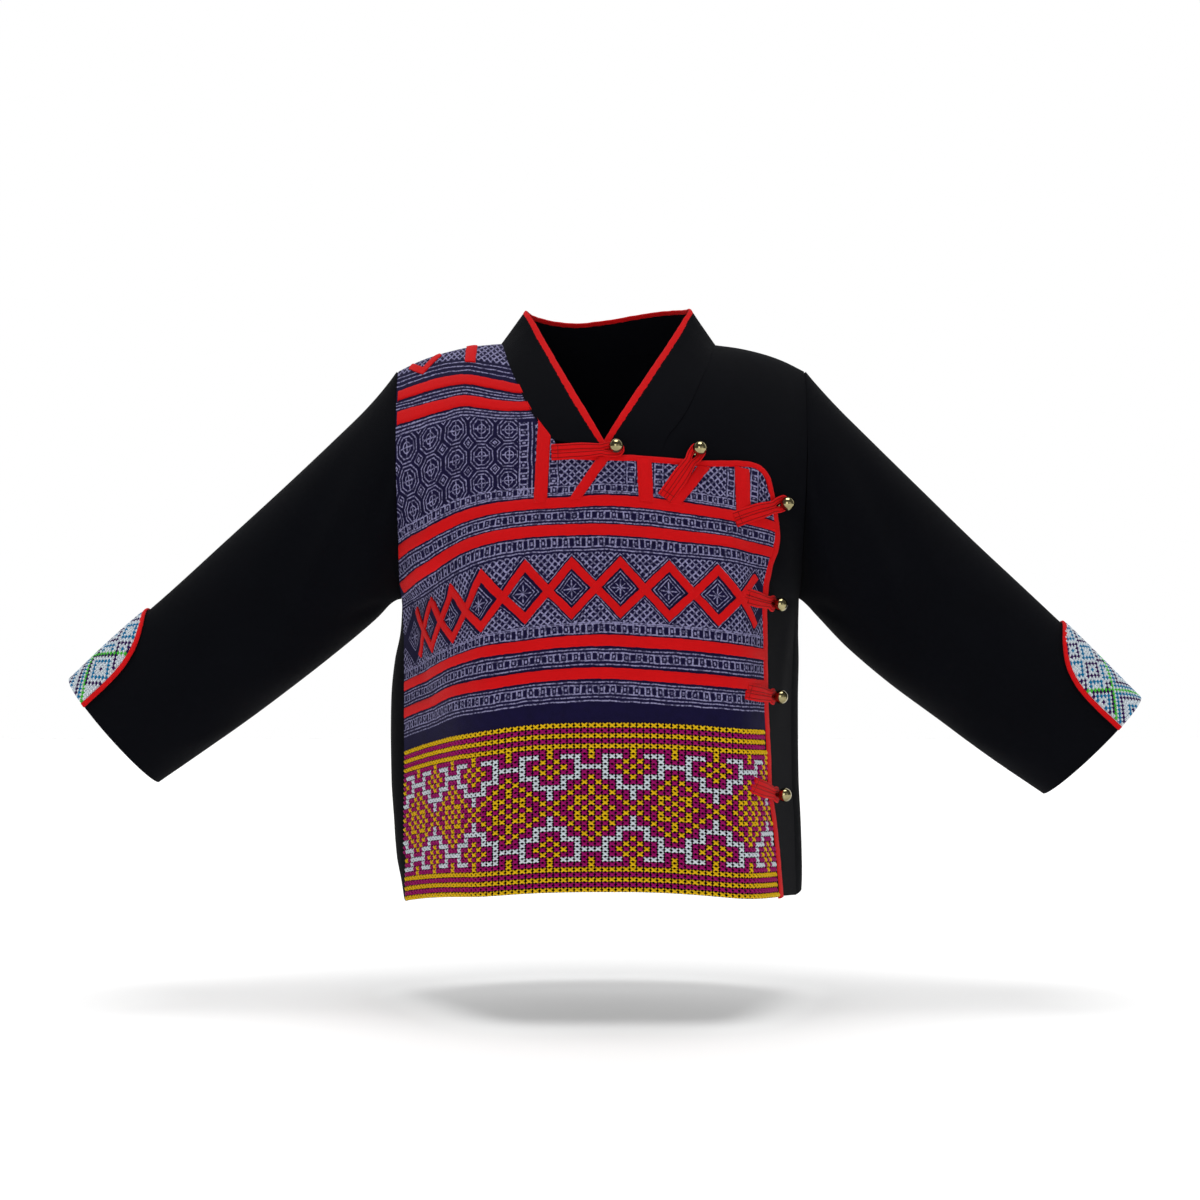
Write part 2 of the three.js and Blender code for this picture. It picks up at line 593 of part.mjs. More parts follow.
function buildBack() {
  const side = [0.52, 0.61, 0.71, 0.8, 0.88, 0.95, 1];
  const neck = [-90, -79, -66, -50, -32, -14, 14, 32, 50, 66, 79, 90].map((degrees) =>
    roundAtNeck(NECK_X + NECK_HALF_WIDTH * Math.sin(radians(degrees))),
  );
  const rounds = [...side.map((round) => -round).reverse(), ...neck, ...side];
  const levels = [0, 0.2, 0.4, 0.6, 0.8, 0.94, 1, 1.05, 1.12, 1.22, 1.35, 1.5, 1.64, 1.76, 1.86, 1.93, 1.97, 2];
  addPiece(
    'back_panel',
    wallGeometry(
      grid(levels, rounds, (round, level) => onBack(round, level, CLOTH / 2)),
      grid(levels, rounds, (round, level) => onBack(round, level, -CLOTH / 2)),
    ),
    'blackCloth',
  );
}

// A point of a sleeve. along counts sections from the armhole, and angle is round it from the top to the
// front. The first ring is the edge of the body's armhole, moved out.
function sleevePlace(side, along, angle) {
  const value = (column) => read(SLEEVE_TABLES[side], 'section', along, column);
  const a = radians(angle);
  const front = -Math.sign(Math.sin(a));
  const top = new THREE.Vector3(value('topX'), value('y'), value('topZ'));
  const bottom = new THREE.Vector3(value('bottomX'), value('y'), value('bottomZ'));
  const point = bottom.lerp(top, (1 + Math.cos(a)) / 2);
  point.y += front * value('halfDepth') * Math.abs(Math.sin(a));
  const up = (1 + Math.cos(a)) / 2;
  const gap = lerp(SLEEVE_GAP.armpit, SLEEVE_GAP.shoulder, smooth(up / 0.5));
  const root = new THREE.Vector3(
    Math.sign(point.x) * (read(ARMHOLE_SECTIONS, 'share', up, side) + gap),
    SEAM_Y + front * armholeDepth(up),
    lerp(ARMPIT, SHOULDER_LINE.at(-1).z, up),
  );
  return root.lerp(point, smooth(along / 1.4));
}

const SLEEVE_TABLES = Object.fromEntries(
  Object.entries(SLEEVE_SECTIONS).map(([side, rows]) => [
    side,
    rows.map((row, section) => ({ ...row, section })),
  ]),
);

function sleeveFold(along, angle) {
  let height = 0;
  for (const fold of SLEEVE_FOLDS) {
    const far = (along - fold.along) / fold.halfAlong;
    const round = (angle - fold.angle - fold.lean * (along - fold.along)) / fold.halfAngle;
    height += fold.height * Math.exp(-far * far - round * round);
  }
  return height * smooth(along / 0.8);
}

function onSleeve(side, along, angle, lift) {
  const step = 0.06;
  const a = clamp(along, step, SLEEVE_SECTIONS[side].length - 1 - step);
  const forward = sleevePlace(side, a + step, angle).sub(sleevePlace(side, a - step, angle));
  const around = sleevePlace(side, a, angle + 6).sub(sleevePlace(side, a, angle - 6));
  const normal = forward.cross(around).normalize();
  const last = SLEEVE_SECTIONS[side].length - 1;
  const middle = sleevePlace(side, a, 0).add(sleevePlace(side, a, 180)).multiplyScalar(0.5);
  if (normal.dot(sleevePlace(side, a, angle).sub(middle)) < 0) normal.negate();
  const point = sleevePlace(side, clamp(along, 0, last), angle);
  return point.addScaledVector(normal, lift + sleeveFold(along, ((angle % 360) + 360) % 360));
}

function buildSleeve(side) {
  const last = SLEEVE_SECTIONS[side].length - 1;
  const alongs = [0, 0.35, 0.8, 1.3, 1.9, 2.6, 3.4, 4.2, 5.0, 5.5, 6.0, 6.5, last];
  const count = 24;
  const angles = steps(0, 360, count).slice(0, count);
  addPiece(
    `sleeve_${side}`,
    wallGeometry(
      grid(alongs, angles, (angle, along) => onSleeve(side, along, angle, CLOTH / 2)),
      grid(alongs, angles, (angle, along) => onSleeve(side, along, angle, -CLOTH / 2)),
      true,
    ),
    'blackCloth',
  );
}

// A point of the embroidered corner's outline. station runs from one end (-1) round the blunt tip (0) to the
// other (1), and inset is the distance in from the outline.
function cuffOutline(side, station, inset) {
  const last = SLEEVE_SECTIONS[side].length - 1;
  const length = sleevePlace(side, last, 0).distanceTo(sleevePlace(side, last - 1, 0));
  const flat = (s) => {
    const share = 1 - Math.cos((Math.min(Math.abs(s), 1) * Math.PI) / 2);
    const half = CUFF_HALF_ANGLE * (1 - (1 - share) ** 4) ** 0.45;
    return {
      along: last - (CUFF_STRETCH[side] * (1 - share)) / length,
      angle: CUFF_TURN[side] + Math.sign(s) * half,
    };
  };
  const here = flat(station);
  if (Math.abs(station) === 1) return { along: here.along, angle: insetEnd(side, here, station, inset) };
  const before = flat(Math.max(station - 0.02, -1));
  const after = flat(Math.min(station + 0.02, 1));
  const scale = sleeveScale(side, Math.min(here.along, last - 0.1), here.angle);
  const forward = new THREE.Vector2(
    (after.along - before.along) * scale.perSection,
    (after.angle - before.angle) * scale.perDegree,
  ).normalize();
  return {
    along: Math.min(here.along + (forward.y * inset) / scale.perSection, last),
    angle: here.angle - (forward.x * inset) / scale.perDegree,
  };
}

// Millimetres along a sleeve in one section, and round it in one degree.
function sleeveScale(side, along, angle) {
  const here = sleevePlace(side, along, angle);
  return {
    perSection: sleevePlace(side, along + 0.1, angle).distanceTo(here) * 10,
    perDegree: sleevePlace(side, along, angle + 1).distanceTo(here),
  };
}

// The angle of an end of the outline, moved in along the sleeve's edge.
function insetEnd(side, { along, angle }, station, inset) {
  return angle - (Math.sign(station) * inset) / sleeveScale(side, along - 0.1, angle).perDegree;
}

function buildCuff(side) {
  const lay = ({ along, angle }, lift) => onSleeve(side, along, angle, CUFF_FLOOR + lift);
  const stations = [0.12, 0.22, 0.33, 0.45, 0.57, 0.69, 0.8, 0.9, 1];
  const across = steps(0, 1, 10);
  const patch = (share, station, lift) => {
    const from = cuffOutline(side, -station, PIPING_WIDTH + 2 * SEAM_GAP);
    const to = cuffOutline(side, station, PIPING_WIDTH + 2 * SEAM_GAP);
    return lay({ along: lerp(from.along, to.along, share), angle: lerp(from.angle, to.angle, share) }, lift);
  };
  addPiece(
    `cuff_embroidery_${side}`,
    wallGeometry(
      grid(stations, across, (share, station) => patch(share, station, CUFF_THICK)),
      grid(stations, across, (share, station) => patch(share, station, 0)),
    ),
    'cuffEmbroidery',
  );
  const round = steps(-1, 1, 26);
  addPiece(
    `cuff_piping_${side}`,
    wallGeometry(
      grid([0, PIPING_WIDTH], round, (station, inset) => lay(cuffOutline(side, station, inset), PIPING_THICK)),
      grid([0, PIPING_WIDTH], round, (station, inset) => lay(cuffOutline(side, station, inset), 0)),
    ),
    'redCloth',
  );
}

// Stations of the collar all round: the half on the top front, the back of the neck, and the half under it.
function collarStations() {
  const half = COLLAR_STATIONS.map((seamX) => {
    const value = (column) => read(COLLAR_HALF, 'seamX', seamX, column);
    return {
      seamX,
      seamZ: necklineHeight(NECK_X - seamX) + COLLAR_RISE,
      edgeX: value('edgeX'),
      underEdgeX: value('underEdgeX'),
      edgeY: value('edgeY'),
      edgeZ: value('edgeZ'),
    };
  });
  const topHalf = half.map((row) => ({
    seam: onFront(NECK_X - row.seamX, row.seamZ, overlapLift(NECK_X - row.seamX) + 0.2),
    edge: new THREE.Vector3(NECK_X - row.edgeX, row.edgeY, row.edgeZ),
  }));
  const neck = COLLAR_BACK.map(({ degrees, edgeZ }) => {
    const a = radians(degrees);
    return {
      seam: new THREE.Vector3(
        NECK_X + NECK_HALF_WIDTH * Math.cos(a),
        lerp(SEAM_Y, NECK_BACK, Math.sin(a)),
        NECK_Z + 0.6,
      ),
      edge: new THREE.Vector3(
        NECK_X + COLLAR_EDGE_HALF_WIDTH * Math.cos(a),
        lerp(COLLAR_EDGE_FRONT, COLLAR_EDGE_BACK, Math.sin(a)),
        edgeZ,
      ),
    };
  });
  const lowerHalf = [...half].reverse().map((row, k) => {
    const atEnd = k === half.length - 1;
    if (atEnd) {
      return {
        seam: onFront(NECK_X + NECKLINE_END - 2.5, UNDERLAP_TOP + 1.6, 0),
        edge: onFront(-12, UNDERLAP_TOP + 1.6, 0),
      };
    }
    const tuck = overlapLift(NECK_X - row.seamX);
    return {
      seam: onFront(NECK_X + row.seamX, row.seamZ, 0.2),
      edge: new THREE.Vector3(NECK_X + row.underEdgeX, row.edgeY + tuck, row.edgeZ),
    };
  });
  return [...topHalf, ...neck, ...lowerHalf];
}

function buildCollar() {
  const stations = collarStations();
  const line = (key) => new THREE.CatmullRomCurve3(stations.map((s) => s[key]), false, 'centripetal');
  const seam = line('seam');
  const edge = line('edge');
  const count = 60;
  const last = stations.length - 1;
  const place = (share, across, lift) => {
    // getPoint runs evenly over the stations, so both lines stay in step
    const p = seam.getPoint(share);
    const q = edge.getPoint(share);
    const step = 0.25 / last;
    const along = seam
      .getPoint(Math.min(1, share + step))
      .sub(seam.getPoint(Math.max(0, share - step)))
      .add(edge.getPoint(Math.min(1, share + step)).sub(edge.getPoint(Math.max(0, share - step))));
    const width = q.clone().sub(p);
    const normal = along.cross(width).normalize();
    const far = across < 0 ? width.length() + across : across;
    return p.clone().addScaledVector(width.normalize(), far).addScaledVector(normal, lift);
  };
  const shares = steps(0, 1, count);
  // A strip between two distances across: from the sewn edge, or back from the free edge where they are
  // negative
  const strip = (from, to, thick) => {
    const layer = (lift) =>
      [0, 0.5, 1].map((part) =>
        shares.map((share) => place(share, from, lift).lerp(place(share, to, lift), part)),
      );
    return wallGeometry(layer(thick / 2), layer(-thick / 2));
  };
  addPiece('collar', strip(COLLAR_FOOT, -(NECK_BINDING_WIDTH + SEAM_GAP), COLLAR_CLOTH), 'blackCloth');
  addPiece('neck_binding', strip(-NECK_BINDING_WIDTH, -0.01, BINDING_CLOTH), 'redCloth');
}

// Red binding along the top front's upper edge and down its closing edge.
function buildOverlapBinding() {
  const topPath = OVERLAP_TOP.slice(0, -1).map(({ x, z }) => [x, z]);
  const edgePath = [...OVERLAP_EDGE].reverse().slice(0, -2).map(({ x, z }) => [x, z]);
  const hemX = read(OVERLAP_EDGE, 'z', -406, 'x');
  const hem = [hemX, rowHeight(hemX, FRONT_HEM)];
  const points = [...topPath, ...edgePath, hem].map(([x, z]) => new THREE.Vector2(x, z));
  const path = new THREE.SplineCurve(points);
  const count = 60;
  const place = (share, inward, lift) => {
    const p = path.getPoint(share);
    const tangent = path.getTangent(share);
    const side = new THREE.Vector2(tangent.y, -tangent.x);
    const slanted = lerp(1, 0.85, smooth((p.x - 95) / 15));
    p.addScaledVector(side, inward * OVERLAP_BINDING_WIDTH * slanted);
    return onFront(p.x, p.y, overlapLift(p.x) + lift);
  };
  const shares = steps(0, 1, count);
  addPiece(
    'overlap_binding',
    wallGeometry(
      grid([0, 1], shares, (share, inward) => place(share, inward, BINDING_CLOTH / 2 - 0.2)),
      grid([0, 1], shares, (share, inward) => place(share, inward, -CLOTH / 2)),
    ),
    'redCloth',
  );
}

// A ball button turned as one piece: a small foot, a shank and the ball.
function buildButton(name, { x, z, seat }) {
  const neck = Math.asin(SHANK_RADIUS / BALL_RADIUS);
  const profile = [
    [0, seat],
    [FOOT_RADIUS, seat],
    [FOOT_RADIUS, seat + 0.6],
    [SHANK_RADIUS, seat + 1],
  ];
  for (const a of steps(neck, Math.PI, 7)) {
    profile.push([BALL_RADIUS * Math.sin(a), BALL_HEIGHT - BALL_RADIUS * Math.cos(a)]);
  }
  profile[profile.length - 1][0] = 0;
  const geometry = new THREE.LatheGeometry(profile.map(([r, h]) => new THREE.Vector2(r, h)), 14);
  const foot = onFront(x, z, 0);
  const upright = new THREE.Vector3(0, 1, 0);
  geometry.applyQuaternion(new THREE.Quaternion().setFromUnitVectors(upright, frontNormal(x, z)));
  geometry.translate(foot.x, foot.y, foot.z);
  addPiece(name, geometry, 'brass');
}

// The line a loop's band follows, in distances along (far) and across (side) the way to its button: one leg,
// the eye round the shank, and the other leg back beside the first.
function loopRoute(reach) {
  const leg = (side) =>
    steps(0, 1, 6).map((share) => {
      const width = lerp(LOOP_TAB, LOOP_CORD, smooth((share - 0.35) / 0.45));
      const opening = (LOOP_EYE - (LOOP_CORD + SEAM_GAP) / 2) * smooth((share - 0.78) / 0.22);
      return { far: share * LOOP_EYE_START * reach, side: side * ((width + SEAM_GAP) / 2 + opening), width };
    });
  const eye = steps(75, -75, 8).map((degrees) => ({
    far: reach + LOOP_EYE * Math.cos(radians(degrees)),
    side: LOOP_EYE * Math.sin(radians(degrees)),
    width: LOOP_CORD,
  }));
  return [...leg(1), ...eye, ...leg(-1).reverse()];
}

// A button loop: a flat band that lies on the cloth at its sewn end and in one plane round the button's
// shank.
function buildLoop(name, { x, z, level, sewnLevel, loopX, loopZ }) {
  const foot = onFront(x, z, 0);
  const up = frontNormal(x, z);
  const reach = Math.hypot(x - loopX, z - loopZ);
  const dirX = (x - loopX) / reach;
  const dirZ = (z - loopZ) / reach;
  const across = new THREE.Vector3().crossVectors(up, foot.clone().sub(onFront(loopX, loopZ, 0))).normalize();
  const ahead = new THREE.Vector3().crossVectors(across, up).normalize();
  const lay = ({ far, side }) => {
    const height = lerp(sewnLevel, level, smooth(far / reach / 0.45));
    const onCloth = onFront(loopX + dirX * far - dirZ * side, loopZ + dirZ * far + dirX * side, height);
    const flat = foot.clone().addScaledVector(up, level);
    flat.addScaledVector(ahead, far - reach).addScaledVector(across, side);
    return onCloth.lerp(flat, smooth((far / reach - 0.55) / 0.35));
  };
  const route = loopRoute(reach);
  const middle = route.map(lay);
  const rows = middle.map((point, k) => {
    const before = middle[Math.max(k - 1, 0)];
    const after = middle[Math.min(k + 1, middle.length - 1)];
    const share = clamp(route[k].far / reach, 0, 1);
    const normal = frontNormal(loopX + dirX * reach * share, loopZ + dirZ * reach * share);
    const side = after.clone().sub(before).normalize().cross(normal).normalize();
    return { point, side, normal, width: route[k].width };
  });
  const layer = (lift) =>
    [-0.5, 0.5].map((s) =>
      rows.map(({ point, side, normal, width }) =>
        point.clone().addScaledVector(side, s * width).addScaledVector(normal, lift),
      ),
    );
  addPiece(name, wallGeometry(layer(LOOP_THICK / 2), layer(-LOOP_THICK / 2)), 'redCloth');
}

buildFronts();
buildUnderlap();
buildBack();
for (const side of ['right', 'left']) {
  buildSleeve(side);
  buildCuff(side);
}
buildCollar();
buildOverlapBinding();
BUTTONS.forEach((button, k) => {
  buildButton(`button_${k + 1}`, button);
  buildLoop(`button_loop_${k + 1}`, button);
});

export default group;
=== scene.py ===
"""A child's side-closing jacket, filled out as if worn: batik front with red appliqué, cross-stitched hem band and
cuff corners, and ball buttons in cloth loops. Lengths are in millimetres until a mesh is made."""
import math
import bpy
from bpy.props import FloatProperty, FloatVectorProperty, PointerProperty
import numpy as np
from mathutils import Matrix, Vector


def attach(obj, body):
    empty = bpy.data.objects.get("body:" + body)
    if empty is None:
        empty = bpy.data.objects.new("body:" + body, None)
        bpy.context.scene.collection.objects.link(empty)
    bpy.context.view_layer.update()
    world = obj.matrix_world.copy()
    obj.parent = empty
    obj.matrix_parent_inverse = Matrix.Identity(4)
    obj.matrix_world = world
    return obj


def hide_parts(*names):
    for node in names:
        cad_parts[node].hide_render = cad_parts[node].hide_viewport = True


bl_info = {
    "name": "Embroidered jacket",
    "version": (1, 0, 0),
    "blender": (4, 5, 0),
    "location": "View3D > Sidebar > Jacket",
    "description": "Builds an embroidered side-closing jacket round its packed solids",
    "category": "Object",
}

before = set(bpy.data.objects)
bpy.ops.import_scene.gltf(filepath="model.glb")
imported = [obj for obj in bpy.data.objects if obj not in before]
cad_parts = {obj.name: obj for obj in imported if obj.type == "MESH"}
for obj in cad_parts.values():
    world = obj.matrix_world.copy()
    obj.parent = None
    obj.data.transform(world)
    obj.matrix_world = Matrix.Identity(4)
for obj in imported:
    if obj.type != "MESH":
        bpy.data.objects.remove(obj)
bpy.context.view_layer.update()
MM = 0.001
SEED = 41


# Tables and small maths

class Table:
    """A short table with named columns, read along its first column on a smooth curve through its rows."""

    def __init__(self, names, rows):
        rows = np.array(sorted(map(tuple, rows)), float)
        self.key = rows[:, 0]
        self.columns = dict(zip(names.split(), rows.T))

    def read(self, at, column):
        """The cubic through the two rows beside the place, each row's slope taken from its neighbours."""
        key, value = self.key, self.columns[column]
        at = np.clip(np.asarray(at, float), key[0], key[-1])
        i = np.clip(np.searchsorted(key, at) - 1, 0, len(key) - 2)
        before = np.maximum(np.arange(len(key)) - 1, 0)
        after = np.minimum(np.arange(len(key)) + 1, len(key) - 1)
        slope = (value[after] - value[before]) / (key[after] - key[before])
        span = key[i + 1] - key[i]
        s = (at - key[i]) / span
        s2, s3 = s * s, s * s * s
        return (
            (2 * s3 - 3 * s2 + 1) * value[i]
            + (s3 - 2 * s2 + s) * span * slope[i]
            + (3 * s2 - 2 * s3) * value[i + 1]
            + (s3 - s2) * span * slope[i + 1]
        )


# Cloth thickness, the lift of the lapped front over the one beneath, and the gap kept at seams
CLOTH = 1.5
LAP = 2.8
SEAM_GAP = 0.3
# Body: armpit height, depth of the side seams, the armhole's bow, the neck's place and half size, the front's turn
ARMPIT = -189
SEAM_Y = 3
ARMHOLE_DEPTH = 56
ARMHOLE_SHAPE = 0.75
NECK_X = 3
NECK_HALF_WIDTH = 79
NECK_BACK = 58
NECK_Z = 1
CORNER_SOFTNESS = 0.05
FRONT_CROWN = 0.06
SAG_POWER = 2.6
# Heights at the centre: hems, top of the band, and where the front beneath ends
FRONT_HEM = -394.5
BACK_HEM = -399
BAND_TOP = -275.8
UNDERLAP_TOP = -98
# Collar's free edge round the neck
COLLAR_EDGE_HALF_WIDTH = 61
COLLAR_EDGE_BACK = 50
COLLAR_EDGE_FRONT = 2
# Embroidered corner: its reach up the sleeve, its turn off the sleeve's top line and its half width in degrees
CUFF_STRETCH = {"right": 76, "left": 84}
CUFF_TURN = {"right": -5, "left": 3}
CUFF_HALF_ANGLE = 64
# Sleeve's gap to the armhole, and how far an edge goes under its binding
SLEEVE_GAP = {"armpit": 2.2, "shoulder": 1}
TUCK = 2
BINDING_WIDTH = 4.5
BINDING_THICK = 2.3
NECK_BINDING_WIDTH = 5
COLLAR_CLOTH = 2
COLLAR_RISE = 1.7
NECKLINE_END = 34
CUFF_FLOOR = CLOTH / 2 + 0.7
CUFF_THICK = 1.2
PIPING_WIDTH = 4
PIPING_THICK = 1.8
# Ball buttons and their loops
BALL_RADIUS = 5
BALL_HEIGHT = 11.7
SHANK_RADIUS = 1.2
FOOT_RADIUS = 2
LOOP_THICK = 1.3
LOOP_CORD = 4
LOOP_TAB = 6.2
LOOP_EYE_START = 0.86
LOOP_EYE = 3.7
# Half width that the fronts' grids start from before they settle on their own edges
FIRST_HALF_WIDTH = 150
# Lengths along the edges, for the waves of their hand sewing
COLLAR_LENGTH = 560
CLOSING_LENGTH = 430
PIPING_LENGTH = 220
# Cross-stitches of the band: rows, row height, column width and the place of a flower's middle
STITCH_ROWS = 33
STITCH_ROW = (BAND_TOP - FRONT_HEM) / STITCH_ROWS
STITCH_COLUMN = 4.85
STITCH_MIDDLE = 20.1

# Half widths, swell beyond them behind, front and back depths, and where the front turns as a share of its width
BODY = Table("z right right_swell left left_swell front back right_corner left_corner", [
    (-425, 148, 1, 143.5, 5, -104, 88, 0.58, 0.72),
    (-403, 149.5, 3.5, 143.5, 6.5, -105, 88, 0.58, 0.72),
    (-385, 149.5, 7.5, 143, 7, -106, 88, 0.58, 0.71),
    (-355, 149.5, 10, 142, 7, -108, 87, 0.58, 0.7),
    (-325, 149.5, 12, 140.5, 7, -109, 86, 0.58, 0.7),
    (-265, 149.5, 12, 140, 7, -110, 84, 0.58, 0.7),
    (-236, 149.5, 9, 141, 6.5, -109.5, 85, 0.585, 0.7),
    (-215, 149.8, 4, 142, 5, -109, 87, 0.59, 0.7),
    (ARMPIT, 150.6, 1, 145, 2, -107, 90, 0.6, 0.71),
])
# Up the armhole, half widths; along the shoulder, its height
ARMHOLE = Table("share right left", [
    (0, 150.6, 145), (0.3, 149.8, 145.2), (0.65, 151.2, 147.2), (1, 154.2, 150),
])
SHOULDER = Table("share z", [
    (0, NECK_Z), (0.5, NECK_Z), (0.57, 0), (0.68, -2.3), (0.8, -6.6), (0.9, -12), (1, -19.5),
])
# How far rows of cloth drop at the sides
SAG = Table("z right left", [
    (-400, 22, 17.5), (-280, 30, 14), (-220, 34, 18), (-180, 36, 21), (-120, 28, 26), (-50, 10, 10),
])
# Neckline, upper and closing edges of the lapped front
NECKLINE = Table("from_middle z", [
    (79, NECK_Z), (68, -27), (56, -53), (49.6, -63.5), (41, -75), (37, -80.5), (34, -97),
])
FROM_MIDDLE = Table("z from_middle", np.stack([NECKLINE.columns["z"], NECKLINE.key], -1))
OVERLAP_TOP = Table("x z", [
    (-31, -86.4), (-18, -88.5), (20, -89.5), (66, -92.5), (102, -92.5), (110, -95), (116, -101),
    (119.5, -113),
])
OVERLAP_EDGE = Table("z x", [
    (-425, 129.5), (-405, 128), (-379, 125.5), (-353, 122.5), (-328, 118.5), (-303, 117.5), (-270, 115.5),
    (-220, 114.5), (-180, 115.5), (-147, 121.4), (-113, 119.5),
])
# Collar's front half from the neckline's foot to the shoulder, then its edge's height round the back
COLLAR_HALF = Table("seam_x edge_x under_edge_x edge_y edge_z", [
    (37, -1.5, -8, -99.2, -86), (45.5, 12, 6, -87, -62), (57, 29.5, 25.5, -61, -31),
    (68, 44, 42.5, -33, -4), (76, 55, 55, -12, 17),
])
COLLAR_STATIONS = [37, 40.5, 45.5, 51.5, 57, 62.5, 68, 72, 76]
COLLAR_BACK = Table("degrees edge_z", [
    (180, 26.5), (158, 25.5), (135, 23.5), (112, 23), (90, 26), (68, 29.5), (45, 31), (22, 29.5), (0, 27.5),
])
# Sleeves as leaning ovals from the armhole to the opening
SLEEVE_COLUMNS = "section top_x top_z bottom_x bottom_z half_depth y"
SLEEVES = {
    "right": Table(SLEEVE_COLUMNS, [
        (0, -154.5, -19.5, -151.5, -189, 56, 3), (1, -172, -42, -159, -191.5, 55, 3),
        (2, -204.5, -74, -172, -204.5, 52, 2), (3, -242.5, -110, -193, -222.5, 47, 0),
        (4, -283, -147.5, -224.5, -247.5, 42, -3), (5, -323.5, -185, -259, -274, 36, -6),
        (6, -362.5, -219.5, -296, -300.5, 31, -9), (7, -396.3, -252, -332, -325.5, 27, -11),
    ]),
    "left": Table(SLEEVE_COLUMNS, [
        (0, 150.5, -19.5, 147, -189, 56, 3), (1, 169.5, -41.5, 152, -193, 55, 3),
        (2, 201, -73, 162.5, -204, 52, 2), (3, 238.5, -110, 183.5, -226, 47, 0),
        (4, 276.5, -147.5, 215.5, -253, 42, -3), (5, 315, -184, 251, -279.5, 36, -6),
        (6, 354, -221.5, 288, -307, 31, -9), (7, 397.5, -265.5, 327.5, -334, 27, -11),
    ]),
}
LAST_SECTION = 7
# Buttons: foot's place, seat and loop heights over the cloth, and the place of the loop's sewn end
BUTTONS = [dict(zip(("x", "z", "seat", "level", "sewn_level", "loop_x", "loop_z"), row)) for row in (
    (8, -86.2, 2.1, 5.4, 5.4, -37, -88), (64.5, -87, 1.5, 5.8, 4.9, 41.6, -120),
    (124.2, -120.8, 1.5, 6.1, 4.9, 90.5, -134.5), (116.4, -192.6, 1.5, 5.8, 4.9, 97, -187.5),
    (116.7, -260.2, 1.5, 5.8, 4.9, 97, -254.5), (120, -332, 1.5, 5.8, 5.3, 101, -321),
)]

# Soft folds: place, half width, half length, lean in degrees and height
BODY_FOLDS = [
    (-118, -215, 16, 60, 10, 4), (-128, -150, 12, 38, -28, 3.5), (104, -168, 9, 34, 8, -3),
    (124, -150, 11, 36, 22, 3), (-96, -40, 14, 30, 0, 2.5), (60, -345, 18, 60, 0, 1.5),
]
# Finer creases that the solids leave out
BODY_CREASES = [
    (-126, -182, 5, 26, -34, -1.4), (-134, -236, 6, 34, 14, -1.6), (-104, -262, 9, 46, 6, 1),
    (126, -176, 4, 24, 30, -1.2), (133, -232, 5, 40, -8, 1.3), (-58, -366, 14, 26, -4, 0.8),
    (18, -372, 10, 22, 5, -0.8), (96, -376, 8, 30, 6, 0.9), (-112, -66, 7, 30, 12, -0.9),
]
BACK_FOLDS = [
    (-112, -200, 17, 62, 14, 4), (108, -205, 16, 66, -12, 4), (-60, -300, 20, 85, 3, 3),
    (34, -310, 22, 80, -4, 2.5), (-90, -130, 8, 40, 24, -1.4), (92, -138, 8, 42, -22, -1.4),
    (-14, -338, 9, 50, 0, -1.6), (78, -330, 9, 46, -5, 1.4),
    (-104, -322, 8, 52, 4, -1.5), (4, -80, 30, 12, 0, 1.2),
]
# Along the sleeve, angle round it, half sizes, lean and height
SLEEVE_FOLDS = [
    (1.6, 118, 1.1, 20, 9, 4), (2.6, 70, 1.2, 16, 14, -3), (4.3, 140, 0.8, 24, -12, 3),
    (3.4, 232, 1.3, 22, -10, 3.5), (1.4, 250, 1.0, 20, 8, 3.5),
    (0.9, 92, 0.5, 9, 20, -1.5), (2.2, 148, 0.7, 8, -16, -1.7), (3.3, 104, 0.8, 8, 22, 1.5),
    (5.2, 96, 0.7, 12, 18, -1.6), (5.9, 150, 0.5, 14, -20, 1.4), (4.6, 262, 0.8, 12, 16, -1.7),
    (2.5, 284, 0.9, 9, -18, 1.5), (5.6, 214, 0.6, 12, -14, 1.5), (1.0, 200, 0.6, 14, 0, -1.6),
]


def lerp(a, b, share):
    """From a at share 0 to b at share 1 in a straight line."""
    return a + (b - a) * share


def smooth(share):
    """From 0 to 1 on a curve that is level at both ends."""
    s = np.clip(share, 0, 1)
    return s * s * (3 - 2 * s)


def unit(vectors):
    """The vectors at length 1."""
    return vectors / np.maximum(np.linalg.norm(vectors, axis=-1, keepdims=True), 1e-9)


def points(x, y, z):
    """Points from three arrays of coordinates."""
    return np.stack(np.broadcast_arrays(x, y, z), -1).astype(float)


def fold_height(folds, x, z):
    """Each fold is a soft ridge, full along its middle and fading over its half width and half length."""
    height = np.zeros(np.broadcast(x, z).shape)
    for fold_x, fold_z, half_width, half_length, lean, rise in folds:
        c, s = math.cos(math.radians(lean)), math.sin(math.radians(lean))
        across = (x - fold_x) * c + (z - fold_z) * s
        along = (z - fold_z) * c - (x - fold_x) * s
        height = height + rise * np.exp(-((across / half_width) ** 2) - (along / half_length) ** 2)
    return height


# The front of the body

def sided(table, at, x, suffix=""):
    """A column that differs between the wearer's right (x below 0) and left."""
    return np.where(np.asarray(x) < 0, table.read(at, "right" + suffix), table.read(at, "left" + suffix))


def place_on_body(x, z):
    """Share of the half width from the centre, and above the armpit the share up the armhole."""
    low = np.minimum(z, ARMPIT)
    share = np.clip(np.abs(x) / sided(BODY, low, x), 0, 1)
    up = np.clip((z - ARMPIT) / (NECK_Z - ARMPIT), 0, 1)
    above = z > ARMPIT
    for _ in range(3):
        share = np.where(above, np.clip(np.abs(x) / sided(ARMHOLE, up, x), 0, 1), share)
        top = SHOULDER.read(share, "z")
        up = np.where(above, np.clip((z - ARMPIT) / (top - ARMPIT), 0, 1), 0)
    return share, up


